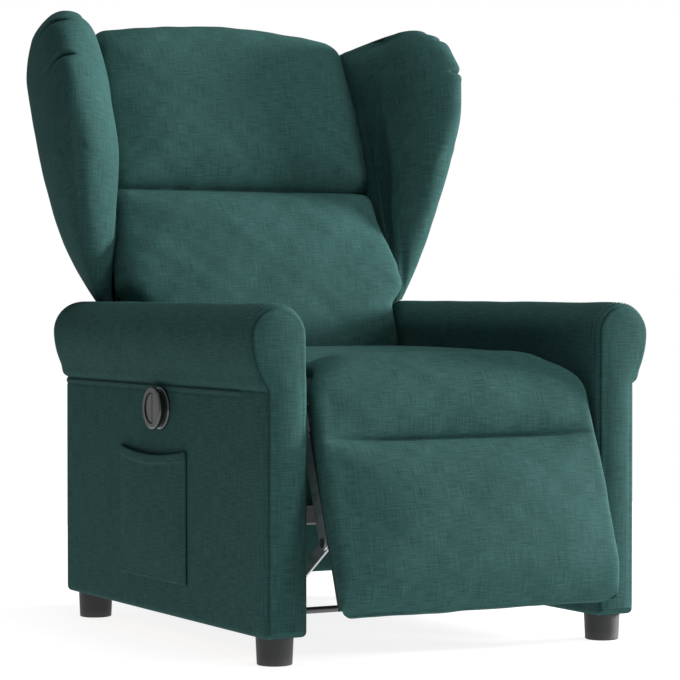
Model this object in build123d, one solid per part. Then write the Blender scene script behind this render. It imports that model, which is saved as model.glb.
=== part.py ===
"""Wing-back power recliner: upholstered arms on four feet carry a sliding seat, a reclining
winged back and a footrest that a motor swings up through cranks and couplers.
Millimetres, +Z up, the chair faces -Y, origin on the floor under the middle of the chair."""

from build123d import *
import math
import os

# Chair body, measured about the middle of the arms
FRAME_SHIFT_Y = -30.0       # moves the arms' middle so that the whole chair is centred on the origin
FOOT_HEIGHT = 44.0
FOOT_RADIUS = 30.0
FOOT_TAPER = 2.0
FOOT_X = 310.0
FOOT_FRONT_Y = -348.0
FOOT_REAR_Y = 344.0
FOOT_BOLT_RADIUS = 4.0
FOOT_BOLT_IN_FOOT = 26.0
FOOT_BOLT_IN_FRAME = 40.0
ARM_INNER_X = 271.0
ARM_OUTER_X = 348.0
ARM_FRONT_Y = -394.0
ARM_REAR_Y = 394.0
ARM_TOP_Z = 565.0
ROLL_RADIUS = 53.0
ROLL_CREASE_Z = 430.0
ROLL_SIDE_BULGE = 8.0
FACING_DEPTH = 20.0
FACING_ROUND = 9.0
ARM_WALL_INNER = 17.0
ARM_WALL_OUTER = 16.0
ARM_END_WALL = 22.0
ARM_CAVITY_TOP_Z = 482.0
ARM_BOARD = 58.0
ARM_MID_POST_Y = 130.0
SLIP = 0.3                  # gap between soft parts, and between parts that pass each other
RUNNING = 0.06              # radial clearance of a pin that turns in its hole
BOLT_CLEARANCE = 0.2

# Side pocket on the left arm
POCKET_FRONT_Y = -117.0
POCKET_REAR_Y = 140.0
POCKET_BOTTOM_Z = 101.0
POCKET_TOP_Z = 322.0
POCKET_DIP = 11.0
POCKET_STAND_OFF = 10.5
POCKET_CLOTH = 2.5
POCKET_EDGE_ROUND = 7.0
TRIM = 1.0                  # how far a cutting shape stands past what it cuts

# Round two-button switch on the left arm
SWITCH_Y = -16.0
SWITCH_Z = 389.0
SWITCH_FLANGE_RADIUS = 36.5
SWITCH_FLANGE_DEPTH = 7.0
SWITCH_NECK_RADIUS = 31.0
SWITCH_NECK_DEPTH = 5.0
SWITCH_RIM_RADIUS = 35.0
SWITCH_RIM_DEPTH = 8.0
SWITCH_BODY_RADIUS = 28.0
SWITCH_BODY_DEPTH = 26.0
SWITCH_WELL_RADIUS = 26.0
BUTTON_GAP = 1.6
BUTTON_DEPTH = 7.0
BUTTON_TRAVEL = 2.0
BUTTON_STOP_GAP = 1.0
BUTTON_SET_BACK = 2.0
BUTTON_STEM_RADIUS = 4.0
BUTTON_STEM_LENGTH = 10.0
BUTTON_STEM_Y = 13.0
BUTTON_ROUND = 1.2

# Footrest swing: hinge C at the centre of the front roll, crank pivot A under the seat
REST_TILT = 19.2            # degrees that the footrest stands open in the stored pose
ROLL_CENTRE_Y = -299.3
ROLL_CENTRE_Z = 401.0
PAD_ROLL_RADIUS = 84.0
PAD_ROLL_INNER = 42.0
PAD_ROLL_SWEEP = 162.0
PAD_ROLL_HALF_WIDTH = 222.0
PAD_SIDE_GAP = 13.0
PAD_HALF_WIDTH = ARM_INNER_X - PAD_SIDE_GAP
PAD_THICK = 54.0
PAD_SIDE_THICK = 36.0       # at the pad's side, which tapers towards the board
PAD_LENGTH = 353.0          # hinge level down to the lower edge
PAD_CREASE = 80.0           # hinge level down to the sewn crease
PAD_CROWN = 9.0
PAD_EDGE_DROP = 26.0        # hinge level down to the pad's upper corner at its side
PAD_EDGE_INSET = 8.0
PAD_EDGE_RUN = 10.0
PAD_TOP_RISE = 22.0
PAD_FOOT_ROUND = 22.0
PAD_FOOT_SET_BACK = 9.0
PAD_FACE_SET_BACK = 3.0
PAD_ROLL_DROOP = 22.0
PAD_ROLL_RUN = 44.0
PAD_CROWN_RUN = 60.0
BRACKET_TOP = 56.0
BRACKET_STEEL = 3.0
BRACKET_FLANGE = 32.0
BOARD_TOP = 48.0
BOARD_SHORT = 14.0
BOARD_THICK = 12.0
BOARD_EDGE = 2.0
COUPLER_LENGTH = 160.0
COUPLER_SLOPE = 34.0        # degrees above the horizontal, towards the front
CRANK_LENGTH = 225.0
LINK_WIDTH = 22.0
LINK_THICK = 4.0
LAYER_GAP = 2.0
PIN_RADIUS = 5.0
PIN_HEAD_RADIUS = 8.0
PIN_HEAD_DEPTH = 1.2
TORQUE_TUBE_RADIUS = 12.5
TUBE_WALL = 2.0

# Seat and its slide
SLIDE_RISE = 6.0            # degrees that the track climbs towards the front
SEAT_PLATE_X = 240.0
SEAT_PLATE_WIDTH = 44.0
SEAT_PLATE_MID_Z = 345.0
SEAT_RAIL_BOTTOM_Z = 330.0
SEAT_RAIL_TOP_Z = 368.0
SEAT_RAIL_THICK = 24.0
SEAT_FRONT_RAIL_Y = -205.0
SEAT_REAR_RAIL_Y = 189.0
SEAT_BOTTOM_Z = 368.4
SEAT_TOP_Z = 474.0
SEAT_CROWN = 9.0
SEAT_SIDE_GAP = 9.0
SEAT_HALF_WIDTH = ARM_INNER_X - SEAT_SIDE_GAP
SEAT_EDGE_DROP = 14.0
SEAT_EDGE_CROWN = 2.0
SEAT_EDGE_RUN = 40.0
SEAT_LIP = 6.0
SEAT_PLATE_END = 11.0
SEAT_ARM_DROP = 6.0
SEAT_FRONT_ARM = 28.0
SEAT_REAR_ARM = 32.0
SPRING_DROP = 6.0
SEAT_REAR_TOP_Y = 217.0
SEAT_REAR_BOTTOM_Y = 203.0
SEAT_ROLL_GAP = 4.0
SPRING_WIRE = 1.8
SPRING_COUNT = 5
SPRING_PITCH_X = 78.0
SPRING_SWING = 20.0
SPRING_BENDS = 11
GLIDE_FRONT_Y = -110.0
GLIDE_REAR_Y = 150.0
GLIDE_FRONT_Z = 226.0
GLIDE_LENGTH = 46.0
GLIDE_STUD_RADIUS = 5.0
GLIDE_ROUND = 5.0
GLIDE_SIDE_CLEARANCE = 0.8
GLIDE_CLEARANCE = 0.4
PIVOT_PIN_END = 3.0
HANGER_WIDTH = 36.0
RAIL_HEIGHT = 40.0
RAIL_DEPTH = 22.0
RAIL_WALL = 3.0
RAIL_FRONT_Y = -235.0
RAIL_REAR_Y = 262.0
RAIL_BOLT_RADIUS = 4.0
RAIL_BOLT_HEAD_RADIUS = 7.0
RAIL_BOLT_HEAD = 3.0
RAIL_BOLT_LENGTH = 40.0
RAIL_BOLT_FROM_END = 40.0

# Drive
MOTOR_PIN_Y = 316.0
MOTOR_PIN_Z = 164.0
MOTOR_TONGUE = 14.0
MOTOR_TONGUE_END = 10.0
MOTOR_TONGUE_HALF_HEIGHT = 11.0
MOTOR_ROUND = 5.0
GEARBOX_ROUND = 8.0
GEARBOX = 62.0
GEARBOX_OFFSET = 12.0
MOTOR_RADIUS = 27.0
MOTOR_LENGTH = 84.0
ACTUATOR_TUBE_RADIUS = 17.0
ACTUATOR_TUBE_LENGTH = 215.0
ROD_RADIUS = 10.0
ROD_LENGTH = 225.0
ROD_PIN_Y = -84.0
ROD_EYE_LENGTH = 14.0
CLEVIS_CHEEK = 6.0
CLEVIS_GAP = 0.5
CLEVIS_END = 9.0
CLEVIS_HALF_HEIGHT = 12.0
CLEVIS_PLATE = 4.0
CLEVIS_PIN_END = 4.0
CLEVIS_PIN_HEAD = 3.0
DRIVE_BAR = 25.0
DRIVE_BAR_SET_BACK = 28.0
CROSS_TUBE = 25.0
CROSS_TUBE_SET_BACK = 28.0
STRETCHER_Y = -199.0
STRETCHER_Z = 60.0
STRETCHER_RADIUS = 5.5
STRETCHER_PLATE = 4.0
STRETCHER_PLATE_RISE = 12.0
STRETCHER_PLATE_WIDTH = 44.0
STRETCHER_PLATE_HEIGHT = 52.0
REAR_PANEL_THICK = 22.0
REAR_PANEL_BOTTOM_Z = 51.0
REAR_PANEL_TOP_Z = 270.0
CONTROL_BOX = (92.0, 36.0, 70.0)
CONTROL_BOX_X = -150.0
CONTROL_BOX_Z = 222.0
INLET_RADIUS = 11.0
INLET_FLANGE = 15.0
INLET_FLANGE_DEPTH = 2.5
INLET_BORE = 6.0
INLET_BORE_DEPTH = 14.0
INLET_PIN_RADIUS = 1.2
INLET_PIN_SHORT = 4.0
CONTROL_BOX_ROUND = 6.0
LEAD_RADIUS = 2.0
LEAD_BEND = 14.0
LEAD_HOLE_CLEARANCE = 1.6
LEAD_RUN_Z = 250.0
LEAD_STRAIGHT = 4.0
MOTOR_LEAD_FROM_END = 8.0

# Back, laid out along its own slope from a datum on the frame
BACK_TILT = 20.0
BACK_DATUM_Y = 300.0
BACK_DATUM_Z = 330.0
BACK_HINGE_Y = 370.0
BACK_HINGE_Z = 300.0
BACK_FRAME_FRONT = -38.0
BACK_FRAME_REAR = -12.0
BACK_FRAME_TOP = 708.0
BACK_FRAME_FOOT = 4.0
BACK_BOARD = 42.0
BACK_PAD_FOOT = 64.0
BACK_PAD_TOP = 752.0
BACK_CREASE = 435.0
BACK_FRONT = -118.0
BACK_CROWN = 12.0
BACK_CREASE_DEPTH = 13.0
BACK_EDGE_SET_BACK = 10.0
BACK_CORNER = 26.0
BACK_END_CORNER = 20.0
BACK_FOOT_RUN = 50.0
BACK_FOOT_PULL = 18.0
BACK_CREASE_RUN = 20.0
BACK_CREASE_EDGE = 5.0
BACK_CREASE_PULL = 14.0
BACK_SWELL_RUN = 90.0
BACK_TOP_RUN = 24.0
BACK_TOP_PULL = 40.0
BACK_PANEL_SHORT = 14.0
BACK_BRACKET_RISE = 28.0
BACK_BRACKET_WIDTH = 34.0
BACK_HALF_WIDTH_FOOT = 262.0
BACK_HALF_WIDTH_TOP = 232.0
BACK_REAR_FOOT = 20.0
BACK_REAR_TOP = -4.0
WEBBING_COUNT = 5
WEBBING_WIDTH = 46.0
WEBBING_THICK = 2.0

PARTS = {}


def node(name, *shapes):
    """Keeps the solids of one named piece, moved into the chair's frame."""
    solids = [s for shape in shapes for s in shape.solids()]
    moved = [Pos(0, FRAME_SHIFT_Y, 0) * s for s in solids]
    PARTS[name] = moved[0] if len(moved) == 1 else Compound(moved)


def mirrored(shape):
    """The same piece on the left side."""
    return mirror(shape, about=Plane.YZ)


def pair(stem, right):
    node("right_" + stem, right)
    node("left_" + stem, mirrored(right))


def across(sketch, x0, x1):
    """Extrudes a sketch drawn in (y, z) from x0 to x1."""
    return extrude(Plane.YZ.offset(x0) * sketch, amount=x1 - x0)


def along(sketch, y0, y1):
    """Extrudes a sketch drawn in (x, z) from y0 to y1."""
    return extrude(Plane.XZ.offset(-y0) * sketch, amount=-(y1 - y0))


def block(x0, x1, y0, y1, z0, z1):
    return Pos((x0 + x1) / 2, (y0 + y1) / 2, (z0 + z1) / 2) * Box(x1 - x0, y1 - y0, z1 - z0)


def cross_pin(y, z, x0, x1, radius):
    """A round bar along X."""
    return across(Pos(y, z) * Circle(radius), x0, x1)


def stadium(p, q, width):
    """A flat bar with round ends between two points, as a sketch."""
    turn = math.degrees(math.atan2(q[1] - p[1], q[0] - p[0]))
    middle = Pos((p[0] + q[0]) / 2, (p[1] + q[1]) / 2)
    return middle * Rot(0, 0, turn) * SlotCenterToCenter(math.dist(p, q), width)


def outline(*edges):
    return make_face(Wire(list(edges)))


def polygon(*points):
    return make_face(Polyline(*points, close=True))


def both_ways(section, stations):
    """Sections from the left edge through the middle to the right edge; the last station is the middle."""
    faces = [section(-x, *rest) for x, *rest in stations]
    return faces + [section(x, *rest) for x, *rest in reversed(stations[:-1])]


# Points of the footrest linkage in the stored pose, as (y, z)
slope = math.radians(COUPLER_SLOPE)
tilt = math.radians(REST_TILT)
PIVOT_C = (ROLL_CENTRE_Y, ROLL_CENTRE_Z)
COUPLER_STEP = (-COUPLER_LENGTH * math.cos(slope), COUPLER_LENGTH * math.sin(slope))
CRANK_STEP = (-CRANK_LENGTH * math.sin(tilt), -CRANK_LENGTH * math.cos(tilt))
PIVOT_A = (PIVOT_C[0] - COUPLER_STEP[0], PIVOT_C[1] - COUPLER_STEP[1])
PIVOT_CRANK = (PIVOT_A[0] + CRANK_STEP[0], PIVOT_A[1] + CRANK_STEP[1])
PIVOT_E = (PIVOT_C[0] + CRANK_STEP[0], PIVOT_C[1] + CRANK_STEP[1])
PIVOT_H = (BACK_HINGE_Y, BACK_HINGE_Z)
PLATE_OUT_X = SEAT_PLATE_X + LINK_THICK
LINK_X = SEAT_PLATE_X - LAYER_GAP - LINK_THICK
COUPLER_X = LINK_X - LAYER_GAP - LINK_THICK
BACK_FRAME_HALF_WIDTH = LINK_X
BOARD_HALF_WIDTH = LINK_X + LINK_THICK + BOARD_EDGE
BOARD_REAR = PAD_THICK + SLIP + BOARD_THICK
CAVITY_INNER_X = ARM_INNER_X + ARM_WALL_INNER
CAVITY_OUTER_X = ARM_OUTER_X - ARM_WALL_OUTER
CAVITY_FRONT_Y = ARM_FRONT_Y + FACING_DEPTH + ARM_END_WALL
CAVITY_REAR_Y = ARM_REAR_Y - ARM_END_WALL
FACE_X = -ARM_OUTER_X


def slide_z(y, y_at, z_at):
    """Height at y of a line that climbs with the seat's track through (y_at, z_at)."""
    return z_at + (y_at - y) * math.tan(math.radians(SLIDE_RISE))


GLIDE_REAR_Z = slide_z(GLIDE_REAR_Y, GLIDE_FRONT_Y, GLIDE_FRONT_Z)
ROD_PIN_Z = slide_z(ROD_PIN_Y, MOTOR_PIN_Y, MOTOR_PIN_Z)
DRIVE_BAR_Y = ROD_PIN_Y - DRIVE_BAR_SET_BACK
DRIVE_BAR_Z = slide_z(DRIVE_BAR_Y, MOTOR_PIN_Y, MOTOR_PIN_Z)
CROSS_TUBE_Y = MOTOR_PIN_Y + CROSS_TUBE_SET_BACK
CROSS_TUBE_Z = slide_z(CROSS_TUBE_Y, MOTOR_PIN_Y, MOTOR_PIN_Z)
SWITCH_BACK_X = FACE_X + SWITCH_BODY_DEPTH
RAIL_BOLT_YS = [RAIL_FRONT_Y + RAIL_BOLT_FROM_END, (RAIL_FRONT_Y + RAIL_REAR_Y) / 2,
                RAIL_REAR_Y - RAIL_BOLT_FROM_END]


# Rolled arms
def arm_profile():
    """Section of an arm: straight inner face, round top roll that hangs over the outer face."""
    mid_z = ARM_TOP_Z - ROLL_RADIUS
    mid_x = ARM_INNER_X + ROLL_RADIUS
    out_x = ARM_INNER_X + 2 * ROLL_RADIUS
    under = ((out_x + ARM_OUTER_X) / 2 + ROLL_SIDE_BULGE, (mid_z + ROLL_CREASE_Z) / 2)
    return outline(
        Line((ARM_INNER_X, FOOT_HEIGHT), (ARM_INNER_X, mid_z)),
        ThreePointArc((ARM_INNER_X, mid_z), (mid_x, ARM_TOP_Z), (out_x, mid_z)),
        ThreePointArc((out_x, mid_z), under, (ARM_OUTER_X, ROLL_CREASE_Z)),
        Line((ARM_OUTER_X, ROLL_CREASE_Z), (ARM_OUTER_X, FOOT_HEIGHT)),
        Line((ARM_OUTER_X, FOOT_HEIGHT), (ARM_INNER_X, FOOT_HEIGHT)),
    )


def rail_bolt_hole(y, x0, x1, radius):
    return cross_pin(y, slide_z(y, GLIDE_FRONT_Y, GLIDE_FRONT_Z), x0, x1, radius)


def arm_cover():
    cover = along(arm_profile(), ARM_FRONT_Y + FACING_DEPTH, ARM_REAR_Y)
    cover -= block(CAVITY_INNER_X, CAVITY_OUTER_X, CAVITY_FRONT_Y, CAVITY_REAR_Y, FOOT_HEIGHT, ARM_CAVITY_TOP_Z)
    for y in RAIL_BOLT_YS:
        cover -= rail_bolt_hole(y, ARM_INNER_X, CAVITY_INNER_X, RAIL_BOLT_RADIUS + BOLT_CLEARANCE)
    return cover


def arm_facing():
    """Padded panel on the front of an arm, with a rounded rim."""
    panel = along(arm_profile(), ARM_FRONT_Y, ARM_FRONT_Y + FACING_DEPTH)
    rim = panel.faces().sort_by(Axis.Y)[0].outer_wire().edges()
    return fillet(rim, FACING_ROUND)


def arm_frame():
    """Five boards of one arm's frame, drilled for the foot and track bolts."""
    x = (CAVITY_INNER_X, CAVITY_OUTER_X)
    low_z = FOOT_HEIGHT + ARM_BOARD
    high_z = ARM_CAVITY_TOP_Z - ARM_BOARD
    boards = [
        block(*x, CAVITY_FRONT_Y, CAVITY_REAR_Y, FOOT_HEIGHT, low_z),
        block(*x, CAVITY_FRONT_Y, CAVITY_REAR_Y, high_z, ARM_CAVITY_TOP_Z),
        block(*x, CAVITY_FRONT_Y, CAVITY_FRONT_Y + ARM_BOARD, low_z, high_z),
        block(*x, CAVITY_REAR_Y - ARM_BOARD, CAVITY_REAR_Y, low_z, high_z),
        block(*x, ARM_MID_POST_Y, ARM_MID_POST_Y + ARM_BOARD, low_z, high_z),
    ]
    for y in (FOOT_FRONT_Y, FOOT_REAR_Y):
        boards[0] -= Pos(FOOT_X, y, FOOT_HEIGHT) * Cylinder(
            FOOT_BOLT_RADIUS + RUNNING, FOOT_BOLT_IN_FRAME, align=(Align.CENTER, Align.CENTER, Align.MIN))
    return boards


def frame_cleats():
    """Cross boards inside an arm that take the track bolts, one behind each bolt."""
    cleats = []
    for y in RAIL_BOLT_YS:
        z = slide_z(y, GLIDE_FRONT_Y, GLIDE_FRONT_Z)
        cleat = block(CAVITY_INNER_X, CAVITY_INNER_X + ARM_BOARD / 2, y - ARM_BOARD / 2, y + ARM_BOARD / 2,
                      FOOT_HEIGHT + ARM_BOARD, z + ARM_BOARD / 2)
        cleat -= rail_bolt_hole(y, CAVITY_INNER_X, CAVITY_OUTER_X, RAIL_BOLT_RADIUS + RUNNING)
        cleats.append(cleat)
    return cleats


def switch_hole():
    return cross_pin(SWITCH_Y, SWITCH_Z, -CAVITY_OUTER_X, FACE_X, SWITCH_BODY_RADIUS + BOLT_CLEARANCE)


def lead_hole():
    return cross_pin(SWITCH_Y, LEAD_RUN_Z, -CAVITY_INNER_X, -ARM_INNER_X, LEAD_RADIUS + LEAD_HOLE_CLEARANCE)


# Feet
def foot(x, y):
    body = Pos(x, y, FOOT_HEIGHT / 2) * Cone(FOOT_RADIUS - FOOT_TAPER, FOOT_RADIUS, FOOT_HEIGHT)
    body = fillet(body.edges().sort_by(Axis.Z)[0], FOOT_TAPER)
    return body - Pos(x, y, FOOT_HEIGHT) * Cylinder(
        FOOT_BOLT_RADIUS + RUNNING, FOOT_BOLT_IN_FOOT, align=(Align.CENTER, Align.CENTER, Align.MAX))


def foot_bolt(x, y):
    length = FOOT_BOLT_IN_FOOT + FOOT_BOLT_IN_FRAME
    return Pos(x, y, FOOT_HEIGHT - FOOT_BOLT_IN_FOOT) * Cylinder(
        FOOT_BOLT_RADIUS, length, align=(Align.CENTER, Align.CENTER, Align.MIN))


# Pocket, switch and leads
def side_pocket():
    """Patch pocket: a shallow tray of cloth, open at the top, sewn to the arm on three sides."""
    out_x = FACE_X - POCKET_STAND_OFF
    uncut_z = POCKET_TOP_Z + POCKET_STAND_OFF
    tray = block(out_x, FACE_X, POCKET_FRONT_Y, POCKET_REAR_Y, POCKET_BOTTOM_Z, uncut_z)
    tray = fillet(tray.faces().sort_by(Axis.X)[0].edges(), POCKET_EDGE_ROUND)
    tray -= block(out_x + POCKET_CLOTH, FACE_X, POCKET_FRONT_Y + POCKET_CLOTH, POCKET_REAR_Y - POCKET_CLOTH,
                  POCKET_BOTTOM_Z + POCKET_CLOTH, uncut_z)
    front_y, rear_y = POCKET_FRONT_Y - TRIM, POCKET_REAR_Y + TRIM
    front, rear = (front_y, POCKET_TOP_Z), (rear_y, POCKET_TOP_Z)
    low = ((front_y + rear_y) / 2, POCKET_TOP_Z - POCKET_DIP)
    top = outline(
        ThreePointArc(front, low, rear),
        Line(rear, (rear_y, uncut_z + TRIM)),
        Line((rear_y, uncut_z + TRIM), (front_y, uncut_z + TRIM)),
        Line((front_y, uncut_z + TRIM), front),
    )
    return tray - across(top, out_x - TRIM, FACE_X)


SWITCH_FRONT_X = FACE_X - SWITCH_FLANGE_DEPTH - SWITCH_NECK_DEPTH - SWITCH_RIM_DEPTH
SWITCH_FLOOR_X = SWITCH_FRONT_X + BUTTON_SET_BACK + BUTTON_DEPTH + BUTTON_TRAVEL + BUTTON_STOP_GAP


def switch_housing():
    """Turned switch case: body in the arm, flange on the cloth, neck and a rim round the button well."""
    def disc(x0, x1, radius):
        return cross_pin(SWITCH_Y, SWITCH_Z, x0, x1, radius)

    neck_x = FACE_X - SWITCH_FLANGE_DEPTH
    rim_x = neck_x - SWITCH_NECK_DEPTH
    flange = disc(neck_x, FACE_X, SWITCH_FLANGE_RADIUS)
    flange = fillet(flange.edges().sort_by(Axis.X)[0], SWITCH_FLANGE_DEPTH * 0.6)
    rim = disc(SWITCH_FRONT_X, rim_x, SWITCH_RIM_RADIUS)
    rim = fillet(rim.edges(), SWITCH_RIM_DEPTH * 0.35)
    case = flange + rim + disc(rim_x, neck_x, SWITCH_NECK_RADIUS)
    case += disc(FACE_X, FACE_X + SWITCH_BODY_DEPTH, SWITCH_BODY_RADIUS)
    case -= disc(SWITCH_FRONT_X, SWITCH_FLOOR_X, SWITCH_WELL_RADIUS)
    for side in (-1, 1):
        guide = Pos(SWITCH_Y + side * BUTTON_STEM_Y, SWITCH_Z) * Circle(BUTTON_STEM_RADIUS + SLIP)
        case -= across(guide, SWITCH_FLOOR_X, SWITCH_FLOOR_X + BUTTON_STEM_LENGTH)
    return case


def switch_button(side):
    """Half-moon key on a stem; side is 1 for the rear half and -1 for the front half."""
    radius = SWITCH_WELL_RADIUS - SLIP * 2
    half = Circle(radius) & Pos(side * (radius + BUTTON_GAP / 2), 0) * Rectangle(2 * radius, 2 * radius)
    front_x = SWITCH_FRONT_X + BUTTON_SET_BACK
    key = across(Pos(SWITCH_Y, SWITCH_Z) * half, front_x, front_x + BUTTON_DEPTH)
    key = fillet(key.faces().sort_by(Axis.X)[0].edges(), BUTTON_ROUND)
    rear_x = front_x + BUTTON_DEPTH
    stem = Pos(SWITCH_Y + side * BUTTON_STEM_Y, SWITCH_Z) * Circle(BUTTON_STEM_RADIUS)
    return key + across(stem, rear_x, rear_x + BUTTON_STEM_LENGTH)


def lead(*points):
    """A round lead along straight runs joined by equal bends."""
    path = FilletPolyline(*points, radius=LEAD_BEND)
    tube = sweep(Plane(path @ 0, z_dir=path % 0) * Circle(LEAD_RADIUS), path=path)
    share = tube.volume / (math.pi * LEAD_RADIUS**2 * path.length)
    print(f"lead {path.length:.0f} mm, volume share {share:.3f}, bend {LEAD_BEND:.0f} mm")
    return tube


def switch_lead():
    """From the switch down inside the arm, out above the track and along it to the control box."""
    drop_x = SWITCH_BACK_X + LEAD_BEND + LEAD_STRAIGHT
    run_x = drop_x + 3 * LEAD_BEND
    z = SWITCH_Z - LEAD_BEND
    box_y = ARM_REAR_Y - REAR_PANEL_THICK - CONTROL_BOX[1] / 2
    return lead(
        (SWITCH_BACK_X, SWITCH_Y, z),
        (drop_x, SWITCH_Y, z),
        (drop_x, SWITCH_Y, LEAD_RUN_Z),
        (run_x, SWITCH_Y, LEAD_RUN_Z),
        (run_x, box_y, LEAD_RUN_Z),
        (CONTROL_BOX_X - CONTROL_BOX[0] / 2, box_y, LEAD_RUN_Z),
    )


def motor_lead():
    """From the front of the control box down on to the motor."""
    x = -GEARBOX / 2 - MOTOR_LENGTH + MOTOR_LEAD_FROM_END
    box_front_y = ARM_REAR_Y - REAR_PANEL_THICK - CONTROL_BOX[1]
    y = MOTOR_PIN_Y - (GEARBOX_OFFSET + GEARBOX / 2) * math.cos(math.radians(SLIDE_RISE))
    motor_z = slide_z(y, MOTOR_PIN_Y, MOTOR_PIN_Z) + MOTOR_RADIUS
    z = motor_z + LEAD_BEND + 2 * LEAD_STRAIGHT
    return lead((x, box_front_y, z), (x, y, z), (x, y, motor_z))


# Base between the arms
def base_rail():
    """Track for one side of the seat: a steel channel with lips, open towards the seat."""
    back_x = ARM_INNER_X - SLIP
    lip_x = back_x - RAIL_DEPTH
    front_y = RAIL_FRONT_Y - GLIDE_FRONT_Y
    rear_y = RAIL_REAR_Y - GLIDE_FRONT_Y
    half = RAIL_HEIGHT / 2
    hollow = half - RAIL_WALL
    rail = block(lip_x, back_x, front_y, rear_y, -half, half)
    rail -= block(lip_x + RAIL_WALL, back_x - RAIL_WALL, front_y, rear_y, -hollow, hollow)
    rail -= block(lip_x, lip_x + RAIL_WALL, front_y, rear_y, -hollow / 2, hollow / 2)
    rail = Pos(0, GLIDE_FRONT_Y, GLIDE_FRONT_Z) * Rot(-SLIDE_RISE, 0, 0) * rail
    for y in RAIL_BOLT_YS:
        rail -= rail_bolt_hole(y, back_x - RAIL_WALL, back_x, RAIL_BOLT_RADIUS + BOLT_CLEARANCE)
    return rail


def rail_bolt(y):
    head_x = ARM_INNER_X - SLIP - RAIL_WALL
    shank = rail_bolt_hole(y, head_x, head_x + RAIL_BOLT_LENGTH, RAIL_BOLT_RADIUS)
    return shank + rail_bolt_hole(y, head_x - RAIL_BOLT_HEAD, head_x, RAIL_BOLT_HEAD_RADIUS)


def rear_base_panel():
    half = ARM_INNER_X - SLIP
    panel = block(-half, half, ARM_REAR_Y - REAR_PANEL_THICK, ARM_REAR_Y, REAR_PANEL_BOTTOM_Z, REAR_PANEL_TOP_Z)
    return panel - along(Pos(CONTROL_BOX_X, CONTROL_BOX_Z) * Circle(INLET_RADIUS + BOLT_CLEARANCE),
                         ARM_REAR_Y - REAR_PANEL_THICK, ARM_REAR_Y)


def square_tube(size):
    hollow = size - 2 * TUBE_WALL
    return Rectangle(size, size) - Rectangle(hollow, hollow)


def rear_cross_tube():
    half = ARM_INNER_X - SLIP
    return across(Pos(CROSS_TUBE_Y, CROSS_TUBE_Z) * square_tube(CROSS_TUBE), -half, half)


def front_stretcher():
    """Round bar low between the arms with a fixing plate at each end."""
    half = ARM_INNER_X - SLIP
    bar = cross_pin(STRETCHER_Y, STRETCHER_Z, -half, half, STRETCHER_RADIUS)
    flat = Rectangle(STRETCHER_PLATE_WIDTH, STRETCHER_PLATE_HEIGHT)
    place = Pos(STRETCHER_Y, STRETCHER_Z + STRETCHER_PLATE_RISE)
    plate = across(place * flat, half - STRETCHER_PLATE, half)
    return bar + plate + mirrored(plate)


def control_box():
    wide, deep, high = CONTROL_BOX
    rear_y = ARM_REAR_Y - REAR_PANEL_THICK
    case = block(CONTROL_BOX_X - wide / 2, CONTROL_BOX_X + wide / 2, rear_y - deep, rear_y,
                 CONTROL_BOX_Z - high / 2, CONTROL_BOX_Z + high / 2)
    return fillet(case.edges().filter_by(Axis.Y), CONTROL_BOX_ROUND)


def power_inlet():
    """Low-voltage socket through the rear panel."""
    rear_y = ARM_REAR_Y + INLET_FLANGE_DEPTH
    floor_y = rear_y - INLET_BORE_DEPTH
    place = Pos(CONTROL_BOX_X, CONTROL_BOX_Z)
    socket = along(place * Circle(INLET_RADIUS), ARM_REAR_Y - REAR_PANEL_THICK, rear_y)
    socket += along(place * Circle(INLET_FLANGE), ARM_REAR_Y, rear_y)
    socket -= along(place * Circle(INLET_BORE), floor_y, rear_y)
    return socket + along(place * Circle(INLET_PIN_RADIUS), floor_y - TRIM, rear_y - INLET_PIN_SHORT)


# Linear actuator, laid out along its own axis from the motor pin and then tilted with the track
def on_actuator(shape):
    return Pos(0, MOTOR_PIN_Y, MOTOR_PIN_Z) * Rot(-SLIDE_RISE, 0, 0) * shape


GEARBOX_FRONT = -GEARBOX_OFFSET - GEARBOX
TUBE_FRONT = GEARBOX_FRONT - ACTUATOR_TUBE_LENGTH
ROD_EYE = -(MOTOR_PIN_Y - ROD_PIN_Y) / math.cos(math.radians(SLIDE_RISE))


def motor_housing():
    """Gearbox with a tongue for the motor pin and the round motor on its side."""
    half = GEARBOX / 2
    box = block(-half, half, GEARBOX_FRONT, -GEARBOX_OFFSET, -half, half)
    box = fillet(box.edges().filter_by(Axis.Y), GEARBOX_ROUND)
    tongue = block(-MOTOR_TONGUE / 2, MOTOR_TONGUE / 2, -GEARBOX_OFFSET, MOTOR_TONGUE_END,
                   -MOTOR_TONGUE_HALF_HEIGHT, MOTOR_TONGUE_HALF_HEIGHT)
    motor = cross_pin(-GEARBOX_OFFSET - half, 0, -half - MOTOR_LENGTH, -half, MOTOR_RADIUS)
    motor = fillet(motor.edges().sort_by(Axis.X)[0], MOTOR_ROUND)
    whole = box + motor + tongue - cross_pin(0, 0, -GEARBOX, GEARBOX, PIN_RADIUS + RUNNING)
    return on_actuator(whole)


def actuator_tube():
    ring = Circle(ACTUATOR_TUBE_RADIUS) - Circle(ROD_RADIUS + SLIP)
    return on_actuator(along(ring, TUBE_FRONT, GEARBOX_FRONT))


def actuator_rod():
    """Push rod with a flat eye for the drive bar's clevis."""
    neck = ROD_EYE + ROD_EYE_LENGTH
    rod = along(Circle(ROD_RADIUS), neck, ROD_EYE + ROD_LENGTH)
    eye = across(stadium((ROD_EYE, 0), (neck, 0), 2 * ROD_RADIUS), -MOTOR_TONGUE / 2, MOTOR_TONGUE / 2)
    return on_actuator(rod + eye - cross_pin(ROD_EYE, 0, -MOTOR_TONGUE, MOTOR_TONGUE, PIN_RADIUS + RUNNING))


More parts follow.
